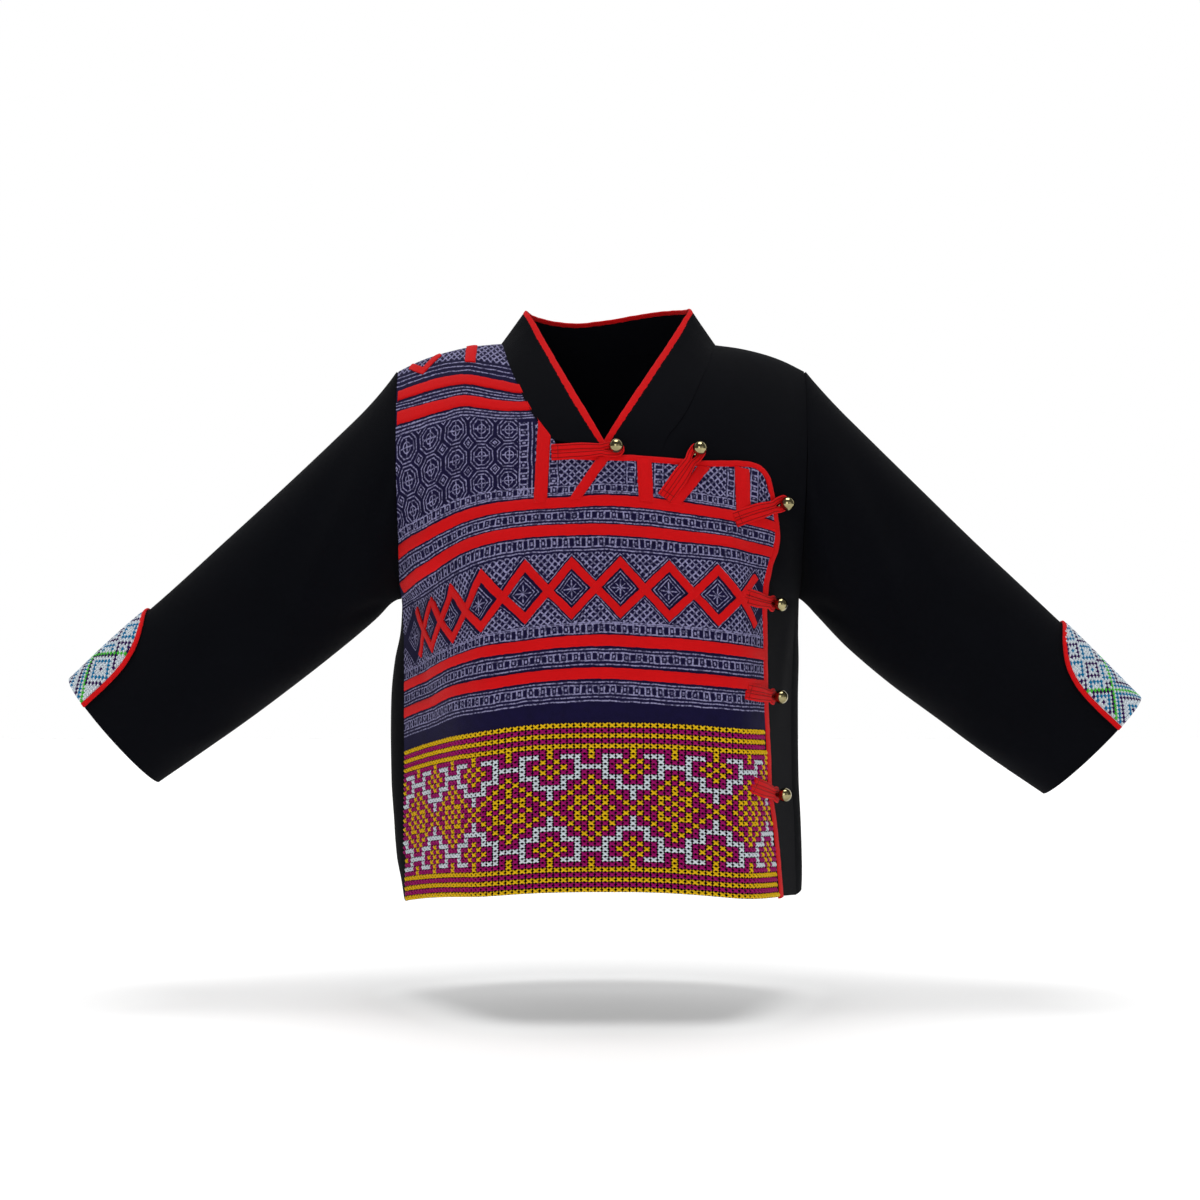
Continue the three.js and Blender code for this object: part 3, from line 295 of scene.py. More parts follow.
def armhole_depth(up):
    """How far the armhole bows from the seam: the sine of the share up it, to a power below 1."""
    return ARMHOLE_DEPTH * np.sin(np.pi * np.clip(up, 0, 1)) ** ARMHOLE_SHAPE


def half_width(x, z, up):
    """Half width of the body on the side of x, by height below the armpit and by the share up the armhole above."""
    return np.where(up > 0, sided(ARMHOLE, up, x), sided(BODY, np.minimum(z, ARMPIT), x))


def front_depth(x, z):
    """y of the front: flat across the middle, turning at a corner and straight back to the side seam. Above
    the armpit it closes in to the armhole's edge and leans back to the shoulder."""
    x, z = np.broadcast_arrays(np.asarray(x, float), np.asarray(z, float))
    share, up = place_on_body(x, z)
    low = np.minimum(z, ARMPIT)
    corner = sided(BODY, low, x, "_corner")

    def turn(s):
        return CORNER_SOFTNESS * np.log1p(np.exp((s - corner) / CORNER_SOFTNESS))

    body_shape = 1 - FRONT_CROWN * share**2 - (1 - FRONT_CROWN) * turn(share) / turn(1)
    centre = BODY.read(low, "front")
    edge = SEAM_Y - armhole_depth(up)
    middle = lerp(SEAM_Y, centre, (1 - up**3) ** 0.6)
    chest_shape = 1 - share ** lerp(2.6, 1.7, up)
    chest = lerp(edge, middle, lerp(body_shape, chest_shape, smooth(up / 0.4)))
    return np.where(up > 0, chest, lerp(SEAM_Y, centre, body_shape))


def shoulder_height(x):
    """Height of the shoulder seam at x."""
    return SHOULDER.read(np.abs(x) / sided(ARMHOLE, 1.0, x), "z")


def neckline_height(x):
    """Height of the front's neckline at x, alike on both sides of the neck's middle."""
    return NECKLINE.read(np.abs(x - NECK_X), "z")


def front_normal(x, z):
    """Outward direction of the front, from its slopes a little way in from its edges."""
    x, z = np.broadcast_arrays(np.asarray(x, float), np.asarray(z, float))
    step = 2
    inside = np.sign(x) * np.minimum(np.abs(x), 0.965 * half_width(x, z, np.zeros(x.shape)))
    height = np.minimum(z, shoulder_height(inside) - step - 1)
    slope_x = (front_depth(inside + step, height) - front_depth(inside - step, height)) / (2 * step)
    slope_z = (front_depth(inside, height + step) - front_depth(inside, height - step)) / (2 * step)
    return unit(points(slope_x, -1, np.clip(slope_z, -1.2, 3)))


def on_front(x, z, lift=0.0, creases=True):
    """A point of the front lifted off the middle of its cloth along the normal, folds included."""
    x, z = np.broadcast_arrays(np.asarray(x, float), np.asarray(z, float))
    lift = lift + fold_height(BODY_FOLDS, x, z)
    if creases:
        lift = lift + fold_height(BODY_CREASES, x, z)
    return points(x, front_depth(x, z), z) + front_normal(x, z) * lift[..., None]


def row_sag(x, z):
    """How far a row of cloth has dropped at a place, a power of the share of the half width."""
    share, _ = place_on_body(x, z)
    return sided(SAG, z, x) * share**SAG_POWER


def row_height(x, row):
    """Height at x of the cloth row that is at the given height at the centre."""
    x, row = np.broadcast_arrays(np.asarray(x, float), np.asarray(row, float))
    z = row
    for _ in range(4):
        z = row - row_sag(x, z)
    return z


def overlap_lift(x):
    """The lapped front's lift, rising from the wearer's right to its full height at the centre."""
    return LAP * smooth((np.asarray(x) + 80) / 55)


class FlatFront:
    """The top front's cloth laid flat: u is the length along a row from the centre, and row the height the row
    has at the centre. It is tabled by walking along each row, and read both ways by linear steps."""

    def __init__(self):
        self.rows = np.arange(-440.0, 9.0, 4.0)
        self.xs = np.linspace(-156, 140, 371)
        self.us = np.arange(-216.0, 171.0, 1.0)
        x, row = np.meshgrid(self.xs, self.rows)
        line = on_front(x, row_height(x, row), overlap_lift(x))
        length = np.cumsum(np.linalg.norm(np.diff(line, axis=1), axis=-1), axis=1)
        length = np.concatenate([np.zeros((len(self.rows), 1)), length], 1)
        self.length = np.array([l - np.interp(0, self.xs, l) for l in length])
        self.x_at = np.array([np.interp(self.us, l, self.xs) for l in self.length])

    @staticmethod
    def _look(table, row_at, column_at):
        """The table read between its four nearest cells."""
        i = np.clip(row_at.astype(int), 0, table.shape[0] - 2)
        j = np.clip(column_at.astype(int), 0, table.shape[1] - 2)
        a, b = np.clip(row_at - i, 0, 1), np.clip(column_at - j, 0, 1)
        low = lerp(table[i, j], table[i, j + 1], b)
        return lerp(low, lerp(table[i + 1, j], table[i + 1, j + 1], b), a)

    def _row_place(self, row):
        """A row's place in the table."""
        return (row - self.rows[0]) / (self.rows[1] - self.rows[0])

    def flat_of(self, x, z):
        """(u, row) of points of the front."""
        x, z = np.broadcast_arrays(np.asarray(x, float), np.asarray(z, float))
        row = z + row_sag(x, z)
        column = (x - self.xs[0]) / (self.xs[1] - self.xs[0])
        return self._look(self.length, self._row_place(row), column), row

    def place(self, u, row):
        """x and z of the front at (u, row), kept within the cloth's own edges."""
        u, row = np.broadcast_arrays(np.asarray(u, float), np.asarray(row, float))
        x = self._look(self.x_at, self._row_place(row), u - self.us[0])
        z = row_height(x, row)
        armhole = ARMHOLE.read((z - ARMPIT) / (NECK_Z - ARMPIT), "right")
        side = np.where(z > ARMPIT, armhole, BODY.read(z, "right"))
        closing = OVERLAP_EDGE.read(z, "x") - BINDING_WIDTH + 1
        collar = np.where(z > -81, NECK_X - FROM_MIDDLE.read(z, "from_middle"), closing)
        x = np.clip(x, 0.8 - side, collar)
        return x, np.minimum(z, shoulder_height(x) - 0.6)

    def lay(self, u, row, lift=0.0):
        """Points and normals of the front at (u, row), lifted off the top front's cloth."""
        x, z = self.place(u, row)
        return on_front(x, z, overlap_lift(x) + lift), front_normal(x, z)


FRONT = FlatFront()

# Rows of the batik's stripes and of the diamonds' middle along the cloth, and the straight rows they are drawn on
STRIPES = Table("u a b c d middle e f", [
    (-190, -33, -46.5, -121, -146, -189, -224, -245.3),
    (-160, -31, -46, -121.5, -145.5, -189, -223.8, -245.2),
    (-140, -28.6, -46, -123, -145.2, -189, -223, -244),
    (-122, -26.6, -44.5, -122.5, -142.8, -188.6, -221.2, -243),
    (-106, -28, -44.4, -121.2, -141, -187, -220, -242.7),
    (-90, -31.6, -47.3, -120.7, -140.3, -185.2, -219, -242.8),
    (-75, -35, -50, -121, -140.1, -184, -219.6, -243),
    (-60, -39.5, -51.6, -121.6, -140.6, -183.2, -220.3, -242.7),
    (-30, -40, -53, -122.4, -141.2, -183, -219.4, -242),
    (0, -40, -53, -121.1, -141.4, -181.5, -218.6, -241.5),
    (30, -40, -53, -122.5, -143, -182.8, -219.8, -242.8),
    (55, -40, -53, -124.1, -144.4, -184, -220, -243.7),
    (80, -40, -53, -124.4, -144.2, -183.4, -220.1, -243.6),
    (110, -40, -53, -123.2, -143.4, -181.6, -220.2, -243.4),
])
DRAWN = {"a": -30, "b": -47, "c": -122, "d": -142.5, "middle": -183, "e": -220.5, "f": -243}


def bend_rows(u, row, to_cloth):
    """Rows as drawn turned into rows of the cloth, or back again: straight in between the stripes."""
    u, row = np.broadcast_arrays(np.asarray(u, float), np.asarray(row, float))
    drawn = [np.full(u.shape, float(at)) for at in DRAWN.values()]
    cloth = [STRIPES.read(u, name) for name in DRAWN]
    source, result = (drawn, cloth) if to_cloth else (cloth, drawn)
    bent = row + result[0] - source[0]
    for k in range(len(source) - 1):
        share = (row - source[k]) / (source[k + 1] - source[k])
        bent = np.where(row <= source[k], lerp(result[k], result[k + 1], np.minimum(share, 1)), bent)
    return np.where(row <= source[-1], row + result[-1] - source[-1], bent)


# The back, the sleeves and the collar

def back_sweep(side_x, z, up):
    """Half the angle of the arc that the back follows, from how far the body swells beyond its half width."""
    width = half_width(side_x, z, up)
    swell = sided(BODY, np.minimum(z, ARMPIT), side_x, "_swell") * (1 - smooth(up / 0.2))
    return np.pi - np.arcsin(width / (width + swell)) - math.radians(12) * smooth(up / 0.2)


def back_place(around, z, up):
    """The back as a bowed ring: its angle goes round from seam to seam, and its depth closes to the neck at the
    top."""
    sweep = back_sweep(around, z, up)
    turn = sweep * np.abs(around)
    width = half_width(around, z, up) - SEAM_GAP
    x = np.sign(around) * width * np.sin(turn) / np.sin(sweep)
    ring = (np.cos(turn) - np.cos(sweep)) / (1 - np.cos(sweep))
    back = BODY.read(np.minimum(z, ARMPIT), "back")
    in_neck = np.clip(1 - ((x - NECK_X) / NECK_HALF_WIDTH) ** 2, 0, 1) ** 0.5
    shape = lerp(ring, in_neck, up**6)
    top = np.where(in_neck > 0, NECK_Z, shoulder_height(x))
    y = np.where(up > 0, lerp(SEAM_Y + armhole_depth(up), lerp(back, NECK_BACK, up**3), shape),
                 lerp(SEAM_Y, back, ring))
    return points(x, y, np.where(up > 0, lerp(ARMPIT, top, up), z))


def on_back(around, level, lift):
    """A point of the back by its level, hem (0), armpit (1), shoulder (2), lifted along the normal."""
    around, level = np.broadcast_arrays(np.asarray(around, float), np.asarray(level, float))

    def at(r, l):
        side_hem = np.where(r < 0, row_height(-150, FRONT_HEM), row_height(144, FRONT_HEM))
        hem = lerp(BACK_HEM, side_hem, np.abs(r) ** 1.5)
        return back_place(r, np.where(l <= 1, lerp(hem, ARMPIT, l), ARMPIT), np.clip(l - 1, 0, 1))

    step = 0.012
    r = np.clip(around, -1 + step, 1 - step)
    l = np.clip(level, step, 2 - 3 * step)
    normal = unit(-np.cross(at(r + step, l) - at(r - step, l), at(r, l + step) - at(r, l - step)))
    place = at(around, level)
    height = lift + fold_height(BACK_FOLDS, place[..., 0], place[..., 2])
    return place + normal * height[..., None]


def sleeve_place(side, along, angle):
    """A leaning oval between the section's top and bottom points, grown out of the armhole at the root."""
    table = SLEEVES[side]
    along, angle = np.broadcast_arrays(np.asarray(along, float), np.asarray(angle, float))
    a = np.radians(angle)
    front = -np.sign(np.sin(a))
    up = (1 + np.cos(a)) / 2
    x = lerp(table.read(along, "bottom_x"), table.read(along, "top_x"), up)
    z = lerp(table.read(along, "bottom_z"), table.read(along, "top_z"), up)
    y = table.read(along, "y") + front * table.read(along, "half_depth") * np.abs(np.sin(a))
    gap = lerp(SLEEVE_GAP["armpit"], SLEEVE_GAP["shoulder"], smooth(up / 0.5))
    root = points(np.sign(x) * (ARMHOLE.read(up, side) + gap), SEAM_Y + front * armhole_depth(up),
                  lerp(ARMPIT, SHOULDER.columns["z"][-1], up))
    return lerp(root, points(x, y, z), smooth(along / 1.4)[..., None])


def sleeve_frame(side, along, angle):
    """A point of the sleeve and its outward normal."""
    step = 0.06
    along = np.clip(along, 0, LAST_SECTION)
    a = np.clip(along, step, LAST_SECTION - step)
    forward = sleeve_place(side, a + step, angle) - sleeve_place(side, a - step, angle)
    around = sleeve_place(side, a, angle + 6) - sleeve_place(side, a, angle - 6)
    normal = unit(np.cross(forward, around))
    flat = np.zeros(np.shape(angle))
    middle = (sleeve_place(side, a, flat) + sleeve_place(side, a, flat + 180)) / 2
    outward = np.sum(normal * (sleeve_place(side, a, angle) - middle), -1, keepdims=True)
    return sleeve_place(side, along, angle), np.where(outward < 0, -normal, normal)


def on_sleeve(side, along, angle, lift=0.0):
    """A point of the sleeve lifted along its normal, folds included."""
    along, angle = np.broadcast_arrays(np.asarray(along, float), np.asarray(angle, float))
    place, normal = sleeve_frame(side, along, angle)
    height = np.zeros(along.shape) + lift
    for fold_along, fold_angle, half_along, half_angle, lean, rise in SLEEVE_FOLDS:
        far = (along - fold_along) / half_along
        round_it = (angle % 360 - fold_angle - lean * (along - fold_along)) / half_angle
        height = height + rise * np.exp(-far * far - round_it * round_it) * smooth(along / 0.8)
    return place + normal * height[..., None]


def cuff_outline(side, station, inset):
    """The embroidered corner's outline in (along, angle): from one end (-1) round the blunt tip (0) to the
    other (1), moved in by the inset."""
    section = np.linalg.norm(sleeve_place(side, 7.0, 0.0) - sleeve_place(side, 6.0, 0.0))

    def flat(s):
        share = 1 - np.cos(np.minimum(np.abs(s), 1) * np.pi / 2)
        half = CUFF_HALF_ANGLE * (1 - (1 - share) ** 4) ** 0.45
        return LAST_SECTION - CUFF_STRETCH[side] * (1 - share) / section, CUFF_TURN[side] + np.sign(s) * half

    station, inset = np.broadcast_arrays(np.asarray(station, float), np.asarray(inset, float))
    along, angle = flat(station)
    before, after = flat(np.maximum(station - 0.02, -1)), flat(np.minimum(station + 0.02, 1))
    a = np.minimum(along, LAST_SECTION - 0.1)
    here = sleeve_place(side, a, angle)
    per_section = 10 * np.linalg.norm(sleeve_place(side, a + 0.1, angle) - here, axis=-1)
    per_degree = np.linalg.norm(sleeve_place(side, a, angle + 1) - here, axis=-1)
    forward = unit(np.stack([(after[0] - before[0]) * per_section, (after[1] - before[1]) * per_degree], -1))
    at_end = np.abs(station) == 1
    along = along + np.where(at_end, 0, forward[..., 1] * inset / per_section)
    angle = angle - np.where(at_end, np.sign(station), forward[..., 0]) * inset / per_degree
    return np.minimum(along, LAST_SECTION), angle


def curve_through(knots, shares):
    """A centripetal curve through the knots, which are evenly spaced in share."""
    knots = np.asarray(knots, float)
    padded = np.concatenate([[2 * knots[0] - knots[1]], knots, [2 * knots[-1] - knots[-2]]])
    at = np.clip(shares, 0, 1) * (len(knots) - 1)
    i = np.minimum(at.astype(int), len(knots) - 2)
    w = (at - i)[..., None]
    p0, p1, p2, p3 = (padded[i + k] for k in range(4))
    d0, d1, d2 = (np.maximum(np.linalg.norm(b - a, axis=-1, keepdims=True), 1e-4) ** 0.5
                  for a, b in ((p0, p1), (p1, p2), (p2, p3)))
    t1 = ((p1 - p0) / d0 - (p2 - p0) / (d0 + d1) + (p2 - p1) / d1) * d1
    t2 = ((p2 - p1) / d1 - (p3 - p1) / (d1 + d2) + (p3 - p2) / d2) * d1
    return p1 + t1 * w + (3 * (p2 - p1) - 2 * t1 - t2) * w**2 + (2 * (p1 - p2) + t1 + t2) * w**3


def collar_lines():
    """Stations of the collar's sewn and free edges: the half on the top front, the back of the neck, and the
    lower half."""
    seam_x = np.array(COLLAR_STATIONS, float)
    seam_z = neckline_height(NECK_X - seam_x) + COLLAR_RISE
    half = {name: COLLAR_HALF.read(seam_x, name) for name in ("edge_x", "under_edge_x", "edge_y", "edge_z")}
    tuck = overlap_lift(NECK_X - seam_x)
    top_seam = on_front(NECK_X - seam_x, seam_z, tuck + 0.2)
    top_edge = points(NECK_X - half["edge_x"], half["edge_y"], half["edge_z"])
    a = np.radians(COLLAR_BACK.key[::-1])
    neck_seam = points(NECK_X + NECK_HALF_WIDTH * np.cos(a), lerp(SEAM_Y, NECK_BACK, np.sin(a)), NECK_Z + 0.6)
    neck_edge = points(NECK_X + COLLAR_EDGE_HALF_WIDTH * np.cos(a),
                       lerp(COLLAR_EDGE_FRONT, COLLAR_EDGE_BACK, np.sin(a)), COLLAR_BACK.columns["edge_z"][::-1])
    low_seam = on_front(NECK_X + seam_x, seam_z, 0.2)[::-1].copy()
    low_edge = points(NECK_X + half["under_edge_x"], half["edge_y"] + tuck, half["edge_z"])[::-1].copy()
    low_seam[-1] = on_front(NECK_X + NECKLINE_END - 2.5, UNDERLAP_TOP + 1.6)
    low_edge[-1] = on_front(-12, UNDERLAP_TOP + 1.6)
    return np.concatenate([top_seam, neck_seam, low_seam]), np.concatenate([top_edge, neck_edge, low_edge])


def on_collar(share, part, more=0.0, lift=0.0):
    """A point of the collar and its normal: share goes along it from the closing end, part is 0 at its sewn
    edge and 1 at its free edge, and more is a distance beyond that."""
    share, part, more, lift = np.broadcast_arrays(share, part, more, lift)
    p, q = curve_through(COLLAR_SEAM, share), curve_through(COLLAR_FREE, share)
    step = 0.25 / (len(COLLAR_SEAM) - 1)
    along = (curve_through(COLLAR_SEAM, share + step) - curve_through(COLLAR_SEAM, share - step)
             + curve_through(COLLAR_FREE, share + step) - curve_through(COLLAR_FREE, share - step))
    width = np.linalg.norm(q - p, axis=-1, keepdims=True)
    normal = unit(np.cross(along, q - p))
    up = (q - p) / width * (part[..., None] * width + more[..., None])
    return p + up + normal * lift[..., None], normal


COLLAR_SEAM, COLLAR_FREE = collar_lines()


# Meshes

def signed_volume(verts, quads):
    """Above 0 where the faces of a closed shape point out."""
    a, b, c, d = (verts[quads[:, k]] for k in range(4))
    return np.sum(a * np.cross(b, c)) + np.sum(a * np.cross(c, d))


def wall(outer, inner, wrap=False, uv=None):
    """A closed wall between two grids of points, rows by columns. With wrap the last column joins the first, and
    the uv grid has one column more."""
    rows, columns = outer.shape[:2]
    last = columns if wrap else columns - 1
    r, c = (a.ravel() for a in np.meshgrid(np.arange(rows - 1), np.arange(last), indexing="ij"))
    k = np.arange(last)

    def quad(*corners):
        return np.stack([np.stack(np.broadcast_arrays(*corner), -1) for corner in corners], 1)

    faces = [
        quad((0, r, c), (0, r, c + 1), (0, r + 1, c + 1), (0, r + 1, c)),
        quad((1, r, c), (1, r + 1, c), (1, r + 1, c + 1), (1, r, c + 1)),
        quad((0, 0, k), (1, 0, k), (1, 0, k + 1), (0, 0, k + 1)),
        quad((0, rows - 1, k), (0, rows - 1, k + 1), (1, rows - 1, k + 1), (1, rows - 1, k)),
    ]
    if not wrap:
        j = np.arange(rows - 1)
        end = columns - 1
        faces.append(quad((0, j, 0), (0, j + 1, 0), (1, j + 1, 0), (1, j, 0)))
        faces.append(quad((0, j, end), (1, j, end), (1, j + 1, end), (0, j + 1, end)))
    corners = np.concatenate(faces)
    verts = np.concatenate([outer.reshape(-1, 3), inner.reshape(-1, 3)])
    quads = corners[..., 0] * rows * columns + corners[..., 1] * columns + corners[..., 2] % columns
    if signed_volume(verts, quads) < 0:
        quads, corners = quads[:, ::-1], corners[:, ::-1]
    return verts, [quads], None if uv is None else [uv[corners[..., 1], corners[..., 2]]]


def tubes(rings):
    """Closed tubes from rings of points, (tubes, rings, points, 3): quads between neighbouring rings and a cap at
    each end. The uv runs along the tube and round it in millimetres."""
    count, steps, around = rings.shape[:3]
    grid = np.meshgrid(np.arange(count), np.arange(steps - 1), np.arange(around), indexing="ij")
    t, s, p = (a.ravel() for a in grid)

    def at(t, s, p):
        return (t * steps + s) * around + p % around

    quads = np.stack([at(t, s, p), at(t, s, p + 1), at(t, s + 1, p + 1), at(t, s + 1, p)], 1)
    t0, p0 = np.meshgrid(np.arange(count), np.arange(around), indexing="ij")
    caps = np.concatenate([at(t0, 0, p0)[:, ::-1], at(t0, steps - 1, p0)])
    verts = rings.reshape(-1, 3)
    along = np.cumsum(np.linalg.norm(np.diff(rings.mean(2), axis=1), axis=-1), axis=1)
    along = np.concatenate([np.zeros((count, 1)), along], 1)
    girth = np.linalg.norm(rings - np.roll(rings, 1, 2), axis=-1).sum(-1)
    v = np.stack([along[t, s], p / around * girth[t, s]], -1)
    length = np.stack([along[t, s + 1] - along[t, s], np.zeros(len(t))], -1)
    turn = np.stack([np.zeros(len(t)), girth[t, s] / around], -1)
    uv = np.stack([v, v + turn, v + turn + length, v + length], 1)
    cap_uv = np.zeros((*caps.shape, 2))
    first = quads[: (steps - 1) * around]
    if signed_volume(verts, first) < 0:
        quads, caps, uv = quads[:, ::-1], caps[:, ::-1], uv[:, ::-1]
    return verts, [quads, caps], [uv, cap_uv]


def sweep(line, across, up, profile, taper=None):
    """Carries a closed (across, up) profile along lines of points, (tubes, points, 3), scaled by the taper."""
    profile = np.asarray(profile, float)
    scale = np.ones(line.shape[1]) if taper is None else np.asarray(taper)
    side, rise = (profile[:, k] * scale[:, None] for k in (0, 1))
    return tubes(line[:, :, None] + across[:, :, None] * side[..., None] + up[:, :, None] * rise[..., None])


def joined(shapes):
    """One shape from several of (verts, faces, uv)."""
    verts, faces, uvs, base = [], {}, {}, 0
    for v, face_sets, uv_sets in shapes:
        verts.append(v)
        for face_set, uv_set in zip(face_sets, uv_sets):
            faces.setdefault(face_set.shape[1], []).append(face_set + base)
            uvs.setdefault(face_set.shape[1], []).append(uv_set)
        base += len(v)
    sizes = sorted(faces)
    face_sets, uv_sets = ([np.concatenate(by_size[k]) for k in sizes] for by_size in (faces, uvs))
    return np.concatenate(verts), face_sets, uv_sets


def add_piece(name, shape, material, replaces=(), sharp=50):
    """Makes the object, puts it on the jacket's body and hides the solids that it replaces."""
    verts, faces, uv = shape
    mesh = bpy.data.meshes.new(name)
    totals = np.concatenate([np.full(len(f), f.shape[1]) for f in faces])
    corners = np.concatenate([f.ravel() for f in faces])
    mesh.vertices.add(len(verts))
    mesh.loops.add(len(corners))
    mesh.polygons.add(len(totals))
    mesh.vertices.foreach_set("co", (verts * MM).astype(np.float32).ravel())
    mesh.loops.foreach_set("vertex_index", corners.astype(np.int32))
    mesh.polygons.foreach_set("loop_start", (np.cumsum(totals) - totals).astype(np.int32))
    mesh.polygons.foreach_set("use_smooth", np.ones(len(totals), bool))
    mesh.update(calc_edges=True)
    if uv is not None:
        layer = mesh.uv_layers.new(name="cloth")
        flat = np.concatenate([u.reshape(-1, 2) for u in uv]) * MM
        layer.data.foreach_set("uv", flat.astype(np.float32).ravel())
    mesh.set_sharp_from_angle(angle=math.radians(sharp))
    mesh.materials.append(material)
    piece = bpy.data.objects.new(name, mesh)
    bpy.context.scene.collection.objects.link(piece)
    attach(piece, "root")
    if replaces:
        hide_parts(*replaces)
    return piece


# Shaders

class Value:
    """A socket that carries a number. Arithmetic on it adds Math nodes."""

    def __init__(self, graph, socket):
        self.graph, self.socket = graph, socket

    def math(self, operation, *others, clamp=False):
        """A Math node on this value and the others."""
        settings = {"operation": operation, "use_clamp": clamp}
        return self.graph.node("ShaderNodeMath", settings, dict(enumerate((self, *others))))

    def __add__(self, other):
        return self.math("ADD", other)

    __radd__ = __add__

    def __mul__(self, other):
        return self.math("MULTIPLY", other)

    __rmul__ = __mul__

    def __sub__(self, other):
        return self.math("SUBTRACT", other)

    def __rsub__(self, other):
        return self.graph.node("ShaderNodeMath", {"operation": "SUBTRACT"}, {0: other, 1: self})

    def __truediv__(self, other):
        return self.math("DIVIDE", other)

    def __abs__(self):
        return self.math("ABSOLUTE")

    def sin(self):
        return self.math("SINE")

    def most(self, other):
        """The larger of two values."""
        return self.math("MAXIMUM", other)

    def least(self, other):
        """The smaller of two values."""
        return self.math("MINIMUM", other)

    def cell(self, pitch):
        """The distance from the middle of the nearest of evenly spaced cells."""
        return self.math("WRAP", pitch / 2, -pitch / 2)

    def line(self, width, soft=0.35):
        """1 within half the width of 0, with soft edges."""
        return abs(self).math("MULTIPLY_ADD", -1 / soft, width / 2 / soft + 0.5, clamp=True)

    def step(self, edge, soft=0.35):
        """0 below the edge and 1 above it, with a soft edge."""
        return self.math("MULTIPLY_ADD", 1 / soft, 0.5 - edge / soft, clamp=True)


class Graph:
    """A material's node tree round one Principled shader."""

    def __init__(self, name, **constants):
        self.material = bpy.data.materials.new(name)
        self.material.use_nodes = True
        self.tree = self.material.node_tree
        self.tree.nodes.clear()
        out = self.tree.nodes.new("ShaderNodeOutputMaterial")
        self.shader = self.tree.nodes.new("ShaderNodeBsdfPrincipled")
        self.tree.links.new(self.shader.outputs[0], out.inputs["Surface"])
        self.put(self.shader, constants)

    def put(self, node, inputs):
        """Sets or links a node's sockets by name or number."""
        for key, value in inputs.items():
            name = key.replace("_", " ").title().replace("Ior", "IOR") if isinstance(key, str) else key
            socket = node.inputs[name]
            if isinstance(value, Value):
                self.tree.links.new(value.socket, socket)
            else:
                socket.default_value = value

    def node(self, kind, settings=None, inputs=None, output=0):
        """Adds any node: its settings first, then the values or links of its sockets."""
        node = self.tree.nodes.new(kind)
        for key, value in (settings or {}).items():
            setattr(node, key, value)
        self.put(node, inputs or {})
        return Value(self, node.outputs[output])

    def mix(self, factor, a, b):
        """A colour from a at 0 to b at 1."""
        node = self.tree.nodes.new("ShaderNodeMix")
        node.data_type = "RGBA"
        for socket, value in zip((node.inputs[0], node.inputs[6], node.inputs[7]), (factor, a, b)):
            if isinstance(value, Value):
                self.tree.links.new(value.socket, socket)
            else:
                socket.default_value = value if socket == node.inputs[0] else (*value, 1)[:4]
        return Value(self, node.outputs[2])

    def uv(self):
        """The cloth's own two coordinates in millimetres."""
        vector = self.node("ShaderNodeUVMap", {"uv_map": "cloth"})
        x = self.node("ShaderNodeSeparateXYZ", None, {0: vector}, 0)
        y = Value(self, x.socket.node.outputs[1])
        return x * 1000, y * 1000

    def place(self):
        """Object coordinates."""
        return self.node("ShaderNodeTexCoord", None, None, "Object")

    def noise(self, scale, detail=2.0, vector=None):
        """Noise from 0 to 1, by default over object coordinates, at so many features a metre."""
        inputs = {"Vector": vector or self.place(), "Scale": scale, "Detail": detail}
        return self.node("ShaderNodeTexNoise", None, inputs, "Fac")

    def bump(self, height, distance, strength=1.0):
        """Raises the surface by a height from 0 to 1 over a distance in millimetres."""
        inputs = {"Height": height, "Distance": distance * MM, "Strength": strength}
        self.put(self.shader, {"Normal": self.node("ShaderNodeBump", None, inputs)})


def weave(u, v, pitch):
    """Plain weave: threads that pass over and under each other, one pitch wide."""
    turn = 2 * math.pi / pitch
    crossing = (u * turn).sin() * (v * turn).sin()
    return crossing * 0.5 + (u * (turn * 2)).sin() * 0.2 + (v * (turn * 2)).sin() * 0.2


def cloth_material(name, colour, pitch=0.62, roughness=0.92, sheen=0.04, variation=0.35, gloss=0.15):
    """Plain cotton: a weave with slubs, its colour varying by a share of itself."""
    g = Graph(name, roughness=roughness, sheen_weight=sheen, sheen_roughness=0.5, specular_ior_level=gloss)
    u, v = g.uv()
    threads = weave(u, v, pitch)
    patch = g.noise(28.0, 3.0)
    slub = g.noise(420.0, 2.0)
    dark = tuple(c * (1 - variation) for c in colour)
    light = tuple(min(1, c * (1 + variation)) for c in colour)
    tone = g.mix((patch * 0.6 + slub * 0.4 + threads * 0.25).math("ADD", 0.0, clamp=True), dark, light)
    g.put(g.shader, {"Base Color": tone})
    g.bump(threads + slub * 0.8, 0.12, 0.6)
    return g.material


def thread_material(name, colour):
    """Twisted thread: slanting plies along the piece's own length."""
    g = Graph(name, roughness=0.62, sheen_weight=0.02, sheen_roughness=0.4, specular_ior_level=0.14)
    along, around = g.uv()
    ply = (along * 5.2 + around * 3.4).sin() * 0.5 + 0.5
    patch = g.noise(260.0, 2.0)
    tone = (ply * 0.55 + patch * 0.45).math("ADD", 0.0, clamp=True)
    dark = tuple(c * 0.62 for c in colour)
    light = tuple(min(1, c * 1.15) for c in colour)
    g.put(g.shader, {"Base Color": g.mix(tone, dark, light)})
    g.bump(ply, 0.12, 0.7)
    return g.material


# Grids of the cloth pieces

def side_width(x, z):
    """Half width of the body at a height, on the side where x is."""
    _, up = place_on_body(np.where(x < 0, -150.0, 145.0), z)
    return half_width(x, z, up)


def closing_edge(z):
    """x of the top front's closing edge under its binding."""
    return OVERLAP_EDGE.read(z, "x") - BINDING_WIDTH + TUCK


